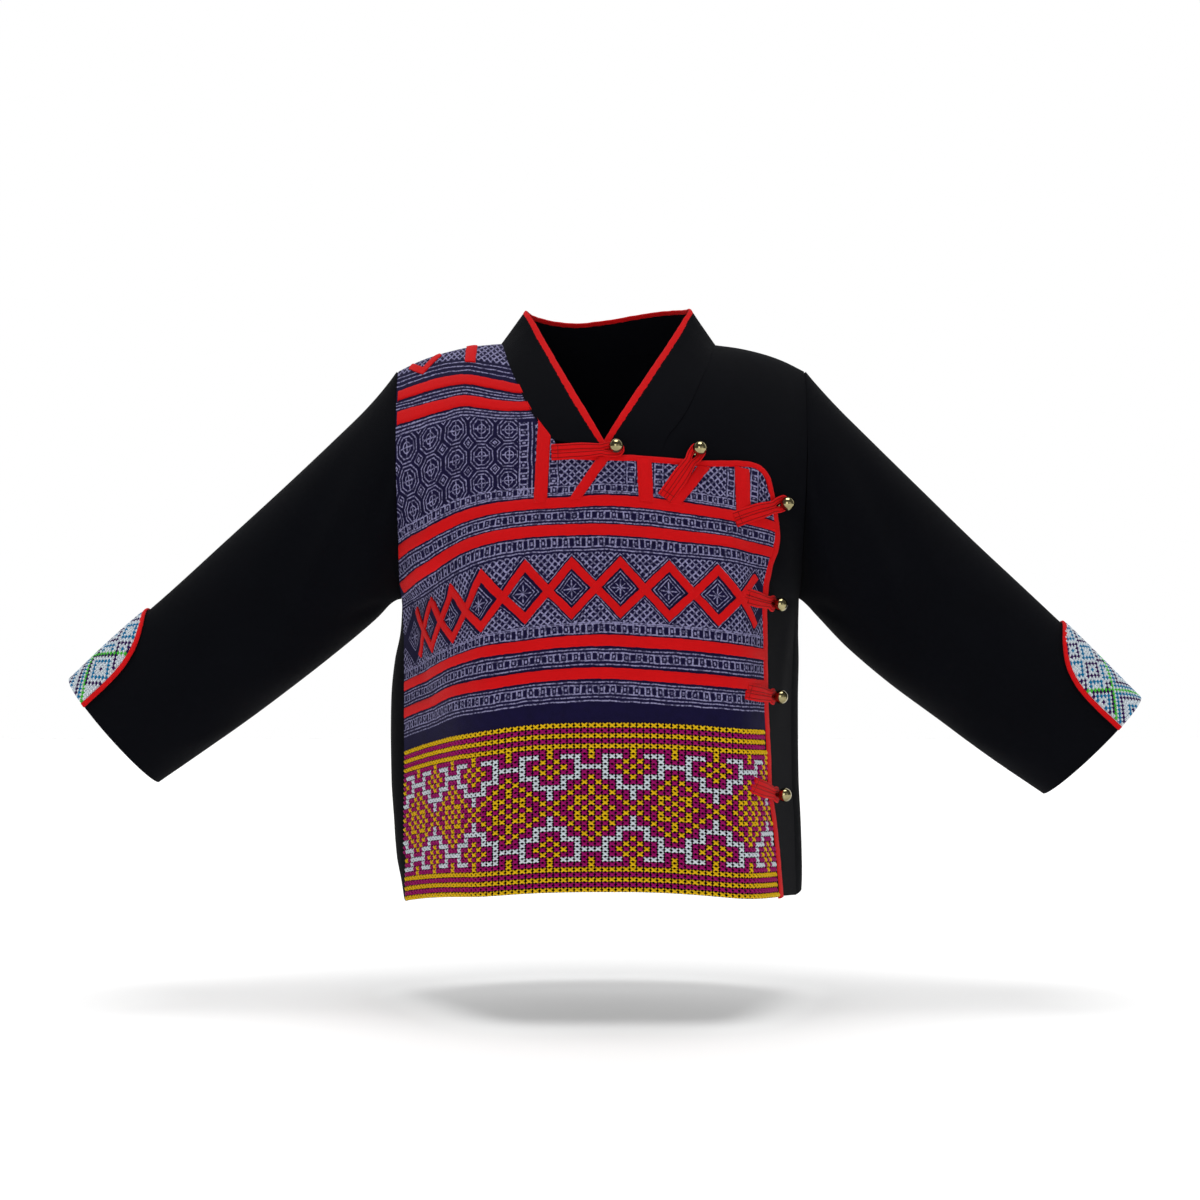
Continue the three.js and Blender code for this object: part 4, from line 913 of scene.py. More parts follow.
def overlap_top_height(x):
    """Top of the top front: the shoulder, then the neckline, then the upper edge under its binding."""
    bound_from = OVERLAP_TOP.key[0] - 1
    around_corner = 3.5 * smooth((x - 85) / 20)
    bound = OVERLAP_TOP.read(np.maximum(x, bound_from) + around_corner, "z") - BINDING_WIDTH + TUCK
    free = neckline_height(np.minimum(x, bound_from - 3.5)) + TUCK / 2
    sewn = lerp(free, bound, np.clip((x - bound_from + 3.5) / 3, 0, 1))
    return np.where(x < NECK_X - NECK_HALF_WIDTH, shoulder_height(x), sewn)


def front_grid(columns, ups, bottom, top, closes):
    """x and z of a front's grid: columns keep their share of the width, rows their share of the height."""
    column, up = np.meshgrid(columns, ups)
    x = column * FIRST_HALF_WIDTH
    for _ in range(6):
        z = lerp(bottom(x), top(x), up)
        width = side_width(column, z)
        x = column * (np.where(column > 0, closing_edge(z), width) if closes else width)
    return x, z


def front_cloth(x, z, lift, drawn=False):
    """A front as a closed sheet of cloth. Its uv is the flat cloth, or the batik's drawing on it."""
    u, row = FRONT.flat_of(x, z)
    flat = np.stack([u, bend_rows(u, row, False) if drawn else row], -1)
    return wall(on_front(x, z, lift + CLOTH / 2), on_front(x, z, lift - CLOTH / 2), uv=flat)


def hem_height(x):
    """Height of the front's hem at x."""
    return row_height(x, FRONT_HEM)


def band_height(x):
    """Height of the seam between the batik and the band at x."""
    return row_height(x, BAND_TOP)


def grid_lengths(grid):
    """The uv of any grid: lengths along its middle row and along its middle column."""
    rows, columns = grid.shape[:2]

    def lengths(line, middle):
        length = np.concatenate([[0], np.cumsum(np.linalg.norm(np.diff(line, axis=0), axis=-1))])
        return length - length[middle]

    u = lengths(grid[rows // 2], columns // 2)
    v = lengths(grid[:, columns // 2], rows // 2)
    return np.stack(np.meshgrid(u, v), -1)


def sleeve_cloth(side):
    """A sleeve as a closed tube of cloth."""
    along, angle = np.meshgrid(np.linspace(0, LAST_SECTION, 121), np.linspace(0, 360, 97), indexing="ij")
    uv = grid_lengths(on_sleeve(side, along, angle))
    along, angle = along[:, :-1], angle[:, :-1]
    return wall(on_sleeve(side, along, angle, CLOTH / 2), on_sleeve(side, along, angle, -CLOTH / 2), True, uv)


def rounded_strip(width, thick, count=14, power=3.0):
    """Closed profile of a folded strip: a flattened oval, across it and up from its underside."""
    a = np.linspace(0, 2 * np.pi, count, endpoint=False)
    c, s = np.cos(a), np.sin(a)
    across = np.sign(c) * np.abs(c) ** (2 / power) * width / 2
    return np.stack([across, (np.sign(s) * np.abs(s) ** (2 / power) + 1) * thick / 2], -1)


def ripple(length, wave, seed):
    """Soft unevenness of hand-sewn edges from -1 to 1 along a length."""
    phases = np.random.default_rng(seed).uniform(0, 2 * np.pi, 4)
    waves = (1, 1.7, 2.9, 4.3)
    return sum(np.sin(length * w * 2 * np.pi / wave + p) for w, p in zip(waves, phases)) / 4


def underlap_top_height(x):
    """Top of the front beneath: the shoulder, the neckline, and straight under the lap."""
    beyond = np.where(x > NECK_X + NECKLINE_END, neckline_height(x) + TUCK / 2, UNDERLAP_TOP)
    return np.where(x > NECK_X + NECK_HALF_WIDTH, shoulder_height(x), beyond)


def collar_cloth():
    """The collar as a closed sheet between its sewn edge and the line under its binding."""
    share, part = np.meshgrid(np.linspace(0, 1, 241), np.linspace(0, 1, 15), indexing="ij")
    more = lerp(-TUCK, -(NECK_BINDING_WIDTH - TUCK), part)
    outer, normal = on_collar(share, part, more, COLLAR_CLOTH / 2)
    inner = outer - normal * COLLAR_CLOTH
    return wall(outer, inner, uv=grid_lengths(outer))


def neck_binding():
    """The neck's binding, broad down both sides of the opening and narrow round the back."""
    profile = rounded_strip(NECK_BINDING_WIDTH, BINDING_THICK)
    share = np.linspace(0, 1, 401)[:, None]
    length = share * COLLAR_LENGTH
    broad = lerp(0.8, 1.32, smooth((np.abs(share - 0.5) - 0.16) / 0.08))
    across = (profile[:, 0] - NECK_BINDING_WIDTH / 2) * broad + 0.2 * ripple(length, 37, SEED)
    lift = (profile[:, 1] - BINDING_THICK / 2) * (1 + 0.06 * ripple(length, 9, SEED + 1))
    rings, _ = on_collar(share, 1.0, across, lift)
    return tubes(rings[None])


def overlap_path(share):
    """x and z along the top front's bound edge from the neckline to the hem, and the direction into the cloth."""
    top = np.stack([OVERLAP_TOP.key, OVERLAP_TOP.columns["z"]], -1)[:-1]
    edge = np.stack([OVERLAP_EDGE.columns["x"], OVERLAP_EDGE.key], -1)[::-1][:-2]
    hem_x = OVERLAP_EDGE.read(-406, "x")
    knots = np.concatenate([top, edge, [[hem_x, hem_height(hem_x)]]])
    ahead = curve_through(knots, share + 0.002) - curve_through(knots, share - 0.002)
    ahead = unit(ahead)
    return curve_through(knots, share), np.stack([ahead[..., 1], -ahead[..., 0]], -1)


def overlap_binding():
    """The closing edge's binding: a folded strip along its path, narrower from the corner down."""
    profile = rounded_strip(BINDING_WIDTH, BINDING_THICK)
    share = np.linspace(0, 1, 421)
    middle, inward = overlap_path(share)
    length = share[:, None] * CLOSING_LENGTH
    across = BINDING_WIDTH / 2 - profile[:, 0] + 0.2 * ripple(length, 33, SEED + 2)
    across = across * lerp(1, 0.85, smooth((middle[:, :1] - 95) / 15))
    lift = profile[:, 1] * (1 + 0.06 * ripple(length, 9, SEED + 3)) - CLOTH / 2 - 0.2
    place = middle[:, None] + inward[:, None] * across[..., None]
    x, z = place[..., 0], place[..., 1]
    return tubes(on_front(x, z, overlap_lift(x) + lift)[None])


def cuff_place(side, station, share, lift):
    """A point of the embroidered corner between the two sides of its outline."""
    inset = PIPING_WIDTH - 1
    low, high = cuff_outline(side, -station, inset), cuff_outline(side, station, inset)
    return on_sleeve(side, lerp(low[0], high[0], share), lerp(low[1], high[1], share), CUFF_FLOOR + lift)


def cuff_cloth(side):
    """The embroidered corner as a closed sheet over the sleeve."""
    station, share = np.meshgrid(np.linspace(0.1, 1, 40), np.linspace(0, 1, 60), indexing="ij")
    outer = cuff_place(side, station, share, CUFF_THICK / 2)
    return wall(outer, cuff_place(side, station, share, -0.3), uv=grid_lengths(outer))


def cuff_piping(side):
    """The red piping: a folded strip along the corner's outline."""
    profile = rounded_strip(PIPING_WIDTH, PIPING_THICK + 0.4, 12, 2.3)
    station = np.linspace(-1, 1, 161)[:, None]
    inset = PIPING_WIDTH / 2 - profile[:, 0] + 0.12 * ripple(station * PIPING_LENGTH / 2, 22, SEED + 4)
    along, angle = cuff_outline(side, np.broadcast_to(station, inset.shape), inset)
    return tubes(on_sleeve(side, along, angle, CUFF_FLOOR - 0.3 + profile[:, 1])[None])


def turned(foot, up, profile, around=40):
    """Turns an (out, along) profile round the up direction at the foot."""
    profile = np.asarray(profile, float)
    side = unit(np.cross(up, [0.0, 0.0, 1.0]))
    other = np.cross(up, side)
    a = np.linspace(0, 2 * np.pi, around, endpoint=False)
    turn = np.cos(a)[:, None] * side + np.sin(a)[:, None] * other
    rings = foot + profile[:, :1, None] * turn + profile[:, 1:, None] * up
    return tubes(rings[None])


def ball_button(x, z, seat):
    """A foot, a thin shank and a ball of two pressed halves, the rim between them standing out a little."""
    neck = math.asin(SHANK_RADIUS / BALL_RADIUS)
    a = np.linspace(neck, np.pi - 0.05, 30)
    rim = 1 + 0.018 * np.exp(-(((a - np.pi / 2) / 0.07) ** 2))
    ball = np.stack([BALL_RADIUS * np.sin(a) * rim, BALL_HEIGHT - BALL_RADIUS * np.cos(a)], -1)
    stem = [(0.05, seat), (FOOT_RADIUS, seat), (FOOT_RADIUS, seat + 0.6), (SHANK_RADIUS, seat + 1)]
    return turned(on_front(x, z, 0.0), front_normal(x, z), np.concatenate([stem, ball]))


def loop_band(x, z, level, sewn_level, loop_x, loop_z, **_):
    """A loop's flat band: one leg from its sewn end, the eye round the shank, the other leg back. It lies on the
    cloth at its sewn end and in one plane round the shank. Gives the middle line, the directions across and up,
    the width, and the share of the way to the button."""
    foot, up, sewn = on_front(x, z), front_normal(x, z), on_front(loop_x, loop_z)
    reach = math.hypot(x - loop_x, z - loop_z)
    ahead_x, ahead_z = (x - loop_x) / reach, (z - loop_z) / reach
    share = np.linspace(0, 1, 40)
    width = lerp(LOOP_TAB, LOOP_CORD + 0.5, smooth((share - 0.5) / 0.5))
    spread = width * 0.43 + (LOOP_EYE - LOOP_CORD * 0.43 - 0.2) * smooth((share - 0.92) / 0.08)
    turn = np.radians(np.linspace(80, -80, 25))
    leg = share * LOOP_EYE_START * reach
    far = np.concatenate([leg, reach + LOOP_EYE * np.cos(turn), leg[::-1]])
    side = np.concatenate([spread, LOOP_EYE * np.sin(turn), -spread[::-1]])
    width = np.concatenate([width, np.full(len(turn), LOOP_CORD + 0.5), width[::-1]])
    across = unit(np.cross(up, foot - sewn))
    forward = np.cross(across, up)
    height = lerp(sewn_level - 0.7, level, smooth(far / reach / 0.5))
    cloth_x, cloth_z = loop_x + ahead_x * far - ahead_z * side, loop_z + ahead_z * far + ahead_x * side
    on_cloth = on_front(cloth_x, cloth_z, height)
    flat = foot + up * level + forward * (far - reach)[:, None] + across * side[:, None]
    line = lerp(on_cloth, flat, smooth((far / reach - 0.55) / 0.35)[:, None])
    kernel = np.array([1, 2, 3, 2, 1]) / 9
    padded = np.concatenate([line[:1], line[:1], line, line[-1:], line[-1:]])
    line = np.stack([np.convolve(column, kernel, "valid") for column in padded.T], -1)
    part = np.clip(far / reach, 0, 1)
    normal = front_normal(loop_x + ahead_x * reach * part, loop_z + ahead_z * reach * part)
    return line, unit(np.cross(unit(np.gradient(line, axis=0)), normal)), normal, width, far / reach


def loop_shape(button):
    """A loop as a flattened band along its middle line."""
    line, across, up, width, _ = loop_band(**button)
    profile = rounded_strip(1, 1, 14, 2.6)
    side = profile[:, 0] * (width[:, None] + SEAM_GAP)
    rise = (profile[:, 1] - 0.5) * (LOOP_THICK + 0.3)
    rings = line[:, None] + across[:, None] * side[..., None] + up[:, None] * rise[:, None]
    return tubes(rings[None])


def loop_threads(button):
    """The stitches of a loop: two runs down each leg, and one across both legs near the sewn end."""
    line, across, up, width, part = loop_band(**button)
    top = (LOOP_THICK + 0.3) / 2 - 0.1
    profile = [(-0.25, -0.1), (-0.15, 0.2), (0.15, 0.2), (0.25, -0.1)]
    runs = np.stack([line + across * (width * share)[:, None] + up * top for share in (-0.26, 0.26)])
    side, rise = np.broadcast_to(across, runs.shape), np.broadcast_to(up, runs.shape)
    k = int(np.argmax(part > 0.1))
    ends = line[[k, -1 - k]]
    seam = lerp(ends[0], ends[1], np.linspace(-0.42, 1.42, 13)[:, None]) + up[k] * top
    ahead = np.broadcast_to(unit(line[k + 1] - line[k]), seam.shape)
    flat_up = np.broadcast_to(up[k], seam.shape)
    return joined([sweep(runs, side, rise, profile), sweep(seam[None], ahead[None], flat_up[None], profile)])



# Appliqué: width of the plain bar, half height of the diamonds, and the places along the row of their corners

BAR_WIDTH = 9.6
DIAMOND_HEIGHT = 18.1
DIAMOND_MIDDLES = (114, 80, 45.5, 11.3, -22.8, -55.5, -88, -120, -151.5, -184)


def applique(path, width, lift=0.0, level_ends=False, seed=0, thick=0.9):
    """A strip of cloth with folded edges sewn along a path of (u, drawn row) points, mitred at its corners. Its
    ends can be cut along the rows. lift raises it off the cloth."""
    path = np.asarray(path, float)
    ahead = unit(np.diff(path, axis=0))
    side = np.stack([-ahead[:, 1], ahead[:, 0]], -1)
    before, after = np.concatenate([side[:1], side]), np.concatenate([side, side[-1:]])
    mitre = (before + after) / (1 + np.sum(before * after, -1, keepdims=True))
    if level_ends:
        for end in (0, -1):
            mitre[end] = (1 / before[end, 0], 0)
    at, length = [0.0], np.linalg.norm(np.diff(path, axis=0), axis=-1)
    for k, size in enumerate(length):
        at.extend(k + np.linspace(0, 1, max(2, int(size / 1.6) + 1))[1:])
    at = np.array(at)
    index = np.arange(len(path))
    middle, offset = (np.stack([np.interp(at, index, column) for column in grid.T], -1)
                      for grid in (path, mitre))
    half_profile = np.array([(-1, -0.3), (-1, 0.5), (-0.93, 0.85), (-0.4, 0.96)])
    profile = np.concatenate([half_profile, half_profile[::-1] * (-1, 1)])
    along = np.interp(at, index, np.concatenate([[0], np.cumsum(length)]))[:, None]
    half = width / 2 + 0.28 * ripple(along + np.where(profile[:, 0] < 0, 0, 400), 19, SEED + seed)
    place = middle[:, None] + offset[:, None] * (profile[:, 0] * half)[..., None]
    row = bend_rows(place[..., 0], place[..., 1], True)
    height = CLOTH / 2 + profile[:, 1] * thick + lift
    rings, _ = FRONT.lay(place[..., 0], row, np.broadcast_to(height, row.shape))
    return tubes(rings[None])


def zigzag(first):
    """Corners in (u, drawn row) of one of the two zigzag strips that cross to make the diamonds."""
    corners = []
    for k, u in enumerate(DIAMOND_MIDDLES):
        up = first if k % 2 == 0 else -first
        corners.append((u, DRAWN["middle"] + up * DIAMOND_HEIGHT))
    return corners


def applique_pieces(stripe):
    """Every strip by name: its path, its width, how high it lies and whether its ends are cut along the rows."""
    ends = {"a": (-46, -100, -176), "b": (-38, -100, -180), "c": (140, 0, -190), "d": (140, 0, -196),
            "e": (140, 0, -214), "f": (140, 0, -214)}
    stripes = {f"stripe_{key}": ([(u, DRAWN[key]) for u in us], stripe, 0, False) for key, us in ends.items()}
    return stripes | {
        "bar_left": ([(-42, -57.5), (-43, -78), (-45, -121)], BAR_WIDTH, 0.35, True),
        "bar_middle": ([(28, -89), (29.2, -121)], 10.4, 0.35, True),
        "bar_right": ([(100, -86), (102.5, -120)], 11.6, 0.35, True),
        "slant_left": ([(0, -89), (-20.5, -120)], 7.4, 0.35, True),
        "slant_right": ([(71, -90), (49, -120.5)], 7.4, 0.35, True),
        "bar_shoulder": ([(-99, 1), (-99, -15)], 8.4, 0.35, True),
        "corner_shoulder": ([(-150, -8), (-138, -16), (-125, -5)], 5, 0, False),
    }


# Cross-stitches of the band: columns from a flower's middle, by row from the nearer edge of the band
WHITE_STEPS = {6: (2, 3, 4), 7: (4,), 8: (4, 5, 6), 9: (4,), 10: (2, 3, 4), 11: (2,), 12: (0, 1, 2), 13: (0,),
               14: (0,)}
YELLOW_FLOWER = {5: (0, 6), 6: (0, 6), 7: (1,), 8: (0, 2), 9: (1,), 10: (0,)}
# Columns from a diamond's middle, by rows from its middle
YELLOW_DIAMOND = ((1, 3), (0, 2), (1, 2), (0,), (0,))


def stitch_colour(column, row):
    """Colour of a cross-stitch of the band by its column from a flower's middle and its row: y, m or w."""
    half = min(column % 12, 12 - column % 12)
    up = min(row, STITCH_ROWS - 1 - row)
    if up < 5:
        return "y" if up % 2 == 0 else "m"
    if half in WHITE_STEPS.get(up, ()):
        return "w"
    if half in YELLOW_FLOWER.get(up, ()):
        return "y"
    around, rise = 6 - half, abs(row - 16)
    inner = YELLOW_DIAMOND[rise] if rise < len(YELLOW_DIAMOND) else ()
    if around + rise == 6 or around in inner:
        return "y"
    return "m"


def crosses(centres, size, place, arch, width, seed, steps=5, share=0.465):
    """Cross-stitches: two thread bars each, the second over the first, arched over the cloth. centres are (n, 2)
    flat coordinates, place turns flat coordinates and a lift into points and normals, and share is how much of its
    step a bar reaches to each side."""
    rng = np.random.default_rng(seed)
    t = np.linspace(-1, 1, steps)
    shapes = []
    for slant, over in ((1, 0.0), (-1, 0.45)):
        reach = np.array(size) * (share + rng.normal(0, 0.02, (len(centres), 1)))
        jitter = rng.normal(0, 0.07, (len(centres), 2))
        middle = centres + jitter
        u = middle[:, :1] + t * reach[:, :1]
        v = middle[:, 1:] + t * slant * reach[:, 1:]
        lift = CLOTH / 2 - 0.15 + (arch + over * 0.6) * (1 - t**4) + over * (1 - t**2)
        line, normal = place(u, v, np.broadcast_to(lift, u.shape))
        ahead = unit(np.gradient(line, axis=1))
        rise = min(0.62, width * 0.5)
        profile = [(-width / 2, 0), (-width * 0.32, rise), (width * 0.32, rise), (width / 2, 0)]
        shapes.append(sweep(line, unit(np.cross(ahead, normal)), normal, profile, 0.72 + 0.28 * (1 - t**2)))
    return joined(shapes)


def band_stitches():
    """Middles of the band's stitches by colour."""
    found = {"y": [], "m": [], "w": []}
    for row in range(STITCH_ROWS):
        level = BAND_TOP - (row + 0.5) * STITCH_ROW
        x = np.array([-150.0, 131])
        ends, _ = FRONT.flat_of(x, row_height(x, level))
        edge = FRONT.flat_of(*bound_edge(level))[0]
        first = math.ceil((ends[0] + 1.6 - STITCH_MIDDLE) / STITCH_COLUMN)
        last = math.floor((float(edge) - 1.2 - STITCH_MIDDLE) / STITCH_COLUMN)
        for column in range(first, last + 1):
            found[stitch_colour(column, row)].append((STITCH_MIDDLE + column * STITCH_COLUMN, level))
    return {key: np.array(value) for key, value in found.items()}


def cuff_colours(side, i, j):
    """Colours of the cuff's stitches by their steps from the opening and from its middle line: pale, teal, green
    or purple. Green steps cross at one point, with a ringed lozenge to the front, small eyes up the sleeve and
    stripes towards the opening."""
    along, off, reach = CUFF_CHART[side]
    a, b = i - along, np.abs(j) - off
    lozenge = np.abs(a) + np.abs(b - reach)
    eye = np.abs((a - 5) % 10 - 5) + np.abs((b + 4) % 8 - 4)
    stripe = (np.abs(np.abs(a) - np.abs(b))) % 6
    front, up_sleeve = b > np.abs(a), a > np.abs(b)
    rest = ~front & ~up_sleeve
    green = np.abs(a) == np.abs(b)
    ring = (lozenge == 0) | (lozenge == reach - 1)
    purple = (front & ring) | (up_sleeve & (eye == 3)) | (rest & (stripe == 4))
    teal = (front & (lozenge == reach // 2)) | (up_sleeve & (eye % 6 == 0)) | (rest & (stripe == 2))
    return np.select([green, purple, teal], [2, 3, 1], 0)


# Steps from the opening and from the middle line to the crossing, and from there to the lozenge's middle
CUFF_CHART = {"right": (12, 4, 8), "left": (10, 10, 6)}
CUFF_THREADS = ("pale", "teal", "green", "purple")
CUFF_STITCH = 2.15


def cuff_stitches(side, thread_width):
    """The cuff's stitches on a square grid over the sleeve's surface, one shape to a colour."""
    top_line = sleeve_place(side, np.array([LAST_SECTION - 1.0, LAST_SECTION]), 0.0)
    section = np.linalg.norm(top_line[1] - top_line[0])
    angles = np.linspace(-80, 80, 81)
    ring = sleeve_place(side, LAST_SECTION - 0.5, CUFF_TURN[side] + angles)
    arc = np.concatenate([[0], np.cumsum(np.linalg.norm(np.diff(ring, axis=0), axis=-1))])
    arc = arc - arc[40]

    def place(p, q, lift):
        along, angle = LAST_SECTION - p / section, CUFF_TURN[side] + np.interp(q, arc, angles)
        return on_sleeve(side, along, angle, CUFF_FLOOR + lift), sleeve_frame(side, along, angle)[1]

    i, j = (grid.ravel() for grid in np.meshgrid(np.arange(40), np.arange(-22, 23), indexing="ij"))
    p, q = (i + 0.75) * CUFF_STITCH, j * CUFF_STITCH
    half = CUFF_HALF_ANGLE * np.clip(1 - (p / CUFF_STRETCH[side]) ** 4, 0, 1) ** 0.45
    edge = np.interp(half, angles, arc) - PIPING_WIDTH - 0.4
    inside = (np.abs(q) < edge) & (p < CUFF_STRETCH[side] - PIPING_WIDTH - 0.8)
    colour = cuff_colours(side, i, j)
    shapes = {}
    for k, thread in enumerate(CUFF_THREADS):
        centres = np.stack([p, q], -1)[inside & (colour == k)]
        size = CUFF_STITCH * (1.0 if thread == "pale" else 1.18)
        shapes[thread] = crosses(centres, (size, size), place, 0.25, thread_width, SEED + 9 + k, 4)
    return shapes


def bound_edge(row):
    """x and z where a row of the cloth meets the closing edge's binding."""
    z = row
    for _ in range(4):
        x = OVERLAP_EDGE.read(z, "x") - BINDING_WIDTH
        z = row_height(x, row)
    return x, z


# The batik's shader

def ladder(u, w, middle, height=6.4, pitch=4.1):
    """Two rails with rungs between, and a dab in each second gap."""
    off = w - middle
    rails = (abs(off) - height / 2).line(0.9)
    rungs = u.cell(pitch).line(1.15) * off.line(height)
    dabs = (u + pitch / 2).cell(pitch * 2).line(1.3) * off.line(2.2)
    return rails.most(rungs).most(dabs)


def lattice(u, w, pitch=3.9, width=1.15):
    """Slanting lines that cross."""
    return (u + w).cell(pitch * 1.41).line(width * 1.3).most((u - w).cell(pitch * 1.41).line(width * 1.3))


def octagons(u, w):
    """Rings of octagons round a small cross, with small diamonds where four of them meet."""
    x, y = abs((u + 68.5).cell(20.4)), abs((w + 84).cell(18.8))
    reach = x.most(y).most((x + y) * 0.7071)
    rings = (reach - 8.4).line(0.72).most((reach - 6.1).line(0.72))
    petals = ((x * x + y * y).math("SQRT") - 3.1).line(0.7)
    cross = x.least(y).line(0.8) * reach.line(10.4)
    corner = abs((u + 58.3).cell(20.4)) + abs((w + 74.6).cell(18.8))
    return rings.most(petals).most(cross).most((corner - 3.6).line(0.9)).most((corner - 1.0).line(1.2))


def most_of(values):
    """The largest of several values."""
    largest, *others = values
    for value in others:
        largest = largest.most(value)
    return largest


# Places of the ladders beside the upright bars
LADDERS = (-35.6, 18.6, 38.4, 92, 110.5)


def wax_drawing(u, w):
    """How much wax drawing there is at (u, drawn row)."""

    def between(low, high):
        return w.step(low, 0.5) * (1 - w.step(high, 0.5))

    def lines(*rows):
        return most_of([(w - row).line(0.85) for row in rows])

    yoke = 1 - u.step(-62, 0.5)
    edge = u.step(-49, 0.5)
    drawing = lattice(u, w, 3.4) * between(-12.5, 10)
    drawing = drawing.most(lines(-15.2, -18.6, -22.2, -36.4, -38.8, -41.4, -52.6, -54.7, -56.7))
    drawing = drawing.most(octagons(u, w) * between(-110, -57.8) * yoke)
    beside = (w + 88).line(56, 0.5)
    drawing = drawing.most(ladder(w, u, -57.4, 6.0) * beside * (1 - edge)).most((u + 51.4).line(0.8) * beside)
    # The upper right, between the bars
    upper = between(-117.4, -60) * edge
    slants = lattice(u, w, 3.6)
    bars = most_of([ladder(w, u, at, 5.6, 3.7) for at in LADDERS])
    near = most_of([(u - at).line(8.2) for at in LADDERS])
    drawing = drawing.most(upper * w.step(-109, 0.5) * lerp(slants, bars, near))
    drawing = drawing.most(ladder(u, w, -112.4, 5.0)).most(lines(-116.2))
    drawing = drawing.most(lines(-127.3, -137.2)).most(ladder(u, w, -132.2, 5.4, 4.6))
    drawing = drawing.most(ladder(u, w, -151.2, 6.4)).most(lines(-156.6))
    # Round and inside the diamonds
    x, y = abs((u - 11.3).cell(34.0)), w - DRAWN["middle"]
    reach = x * (DIAMOND_HEIGHT / 17) + abs(y)
    inside = (reach - 11.6).line(0.95).most((reach - 8.6).line(0.95))
    star = x.least(abs(y)).line(0.9).most(abs(x - abs(y)).line(0.8)) * reach.line(13)
    outside = lattice(u, w, 3.5) * (reach - DIAMOND_HEIGHT).step(7.4, 0.5)
    veins = (reach - DIAMOND_HEIGHT - 5.6).line(0.9)
    around = outside.most(veins) * between(-207.6, -158.4)
    drawing = drawing.most(around * (1 - reach.line(36))).most(inside.most(star) * reach.line(27))
    drawing = drawing.most(ladder(u, w, -212, 6.2)).most(lines(-207.8))
    drawing = drawing.most(lines(-226.6, -236.9)).most(ladder(u, w, -231.6, 5.4, 4.4))
    return drawing.most(lines(-249, -259.6, -262.2)).most(ladder(u, w, -254.2, 6.0))


def batik_material(name, ground, wax):
    """Dyed cotton with the wax drawing, its lines wandering a little and worn in places."""
    g = Graph(name, roughness=0.9, sheen_weight=0.02, specular_ior_level=0.1)
    u, w = g.uv()
    threads = weave(u, w, 0.62)
    place = g.place()
    wander = g.noise(70.0, 2.0), g.noise(95.0, 2.0, place)
    fine = g.noise(900.0, 1.0)
    bent_u = u + (wander[0] - 0.5) * 2.4 + (fine - 0.5) * 0.5
    bent_w = w + (wander[1] - 0.5) * 1.6 + (fine - 0.5) * 0.5
    drawing = wax_drawing(bent_u, bent_w)
    wear = g.noise(560.0, 3.0).step(0.48, 0.16)
    pale = drawing * (wear * 0.8 + 0.2) + threads * 0.05
    crackle = g.noise(160.0, 4.0)
    shade = g.mix((crackle - 0.25).math("MULTIPLY", 1.6, clamp=True), tuple(c * 0.62 for c in ground), ground)
    tone = g.mix(pale.math("ADD", 0.0, clamp=True), shade, wax)
    g.put(g.shader, {"Base Color": tone})
    g.bump(threads + fine * 0.8, 0.12, 0.6)
    return g.material


# Colours and sizes of the add-on

def srgb(*parts):
    """A colour given in everyday 0 to 255 steps as the linear values that shaders use."""
    return tuple(((p / 255 + 0.055) / 1.055) ** 2.4 if p > 10 else p / 255 / 12.92 for p in parts)


def colour_setting(name, what, *parts):
    """A colour that the panel shows."""
    return FloatVectorProperty(name=name, description=what, default=srgb(*parts), subtype="COLOR",
                               min=0, max=1)


class JacketColours(bpy.types.PropertyGroup):
    """Colours of the jacket."""

    black: colour_setting("Black", "Cloth of the back, sleeves, collar and band", 7, 8, 13)
    batik: colour_setting("Batik blue", "Dyed ground of the batik", 18, 12, 56)
    wax: colour_setting("Wax lines", "Pale lines that the wax kept from the dye", 152, 149, 188)
    red: colour_setting("Red", "Appliqué, bindings, piping and loops", 214, 8, 14)
    magenta: colour_setting("Magenta", "Ground stitches of the band", 168, 0, 108)
    yellow: colour_setting("Yellow", "Rows and flowers of the band", 252, 198, 8)
    pale: colour_setting("Pale blue", "Stepped lines of the band and ground of the cuffs", 228, 238, 255)
    teal: colour_setting("Teal", "Rings and flowers of the cuffs", 0, 124, 176)
    green: colour_setting("Green", "Stepped lines of the cuffs", 84, 206, 62)
    purple: colour_setting("Purple", "Diamonds of the cuffs", 52, 8, 88)
    brass: colour_setting("Brass", "Ball buttons", 196, 184, 136)


def length_setting(name, what, size):
    """A length given in millimetres."""
    return FloatProperty(name=name, description=what, default=size * MM, min=0, subtype="DISTANCE",
                         unit="LENGTH")


class JacketSizes(bpy.types.PropertyGroup):
    """Sizes of the jacket's sewing."""

    stripe: length_setting("Stripe width", "Red strips across the batik", 7.8)
    diamonds: length_setting("Diamond strip width", "Red strips that cross to make the diamonds", 5.6)
    weave: length_setting("Weave", "Pitch of the cloth's threads", 0.62)
    band_thread: length_setting("Band thread", "Width of the threads of the band's cross-stitches", 1.5)
    cuff_thread: length_setting("Cuff thread", "Width of the threads of the cuffs' cross-stitches", 1.4)


# Operators

def colours(context):
    """The add-on's colours."""
    return context.scene.jacket_colours


def sizes(context):
    """The add-on's sizes in millimetres."""
    return {name: getattr(context.scene.jacket_sizes, name) / MM for name in JacketSizes.__annotations__}


def kept(name, make):
    """The material of that name, made the first time."""
    return bpy.data.materials.get(name) or make(name)


def black_cloth(context):
    """Matt black cotton."""

    def make(name):
        pitch = sizes(context)["weave"]
        return cloth_material(name, tuple(colours(context).black), pitch, sheen=0.012, gloss=0.06)

    return kept("black_cotton", make)


def red_cloth(context):
    """Smooth red cotton."""
    red = tuple(colours(context).red)
    return kept("red_cotton", lambda name: cloth_material(name, red, pitch=0.5, variation=0.16))


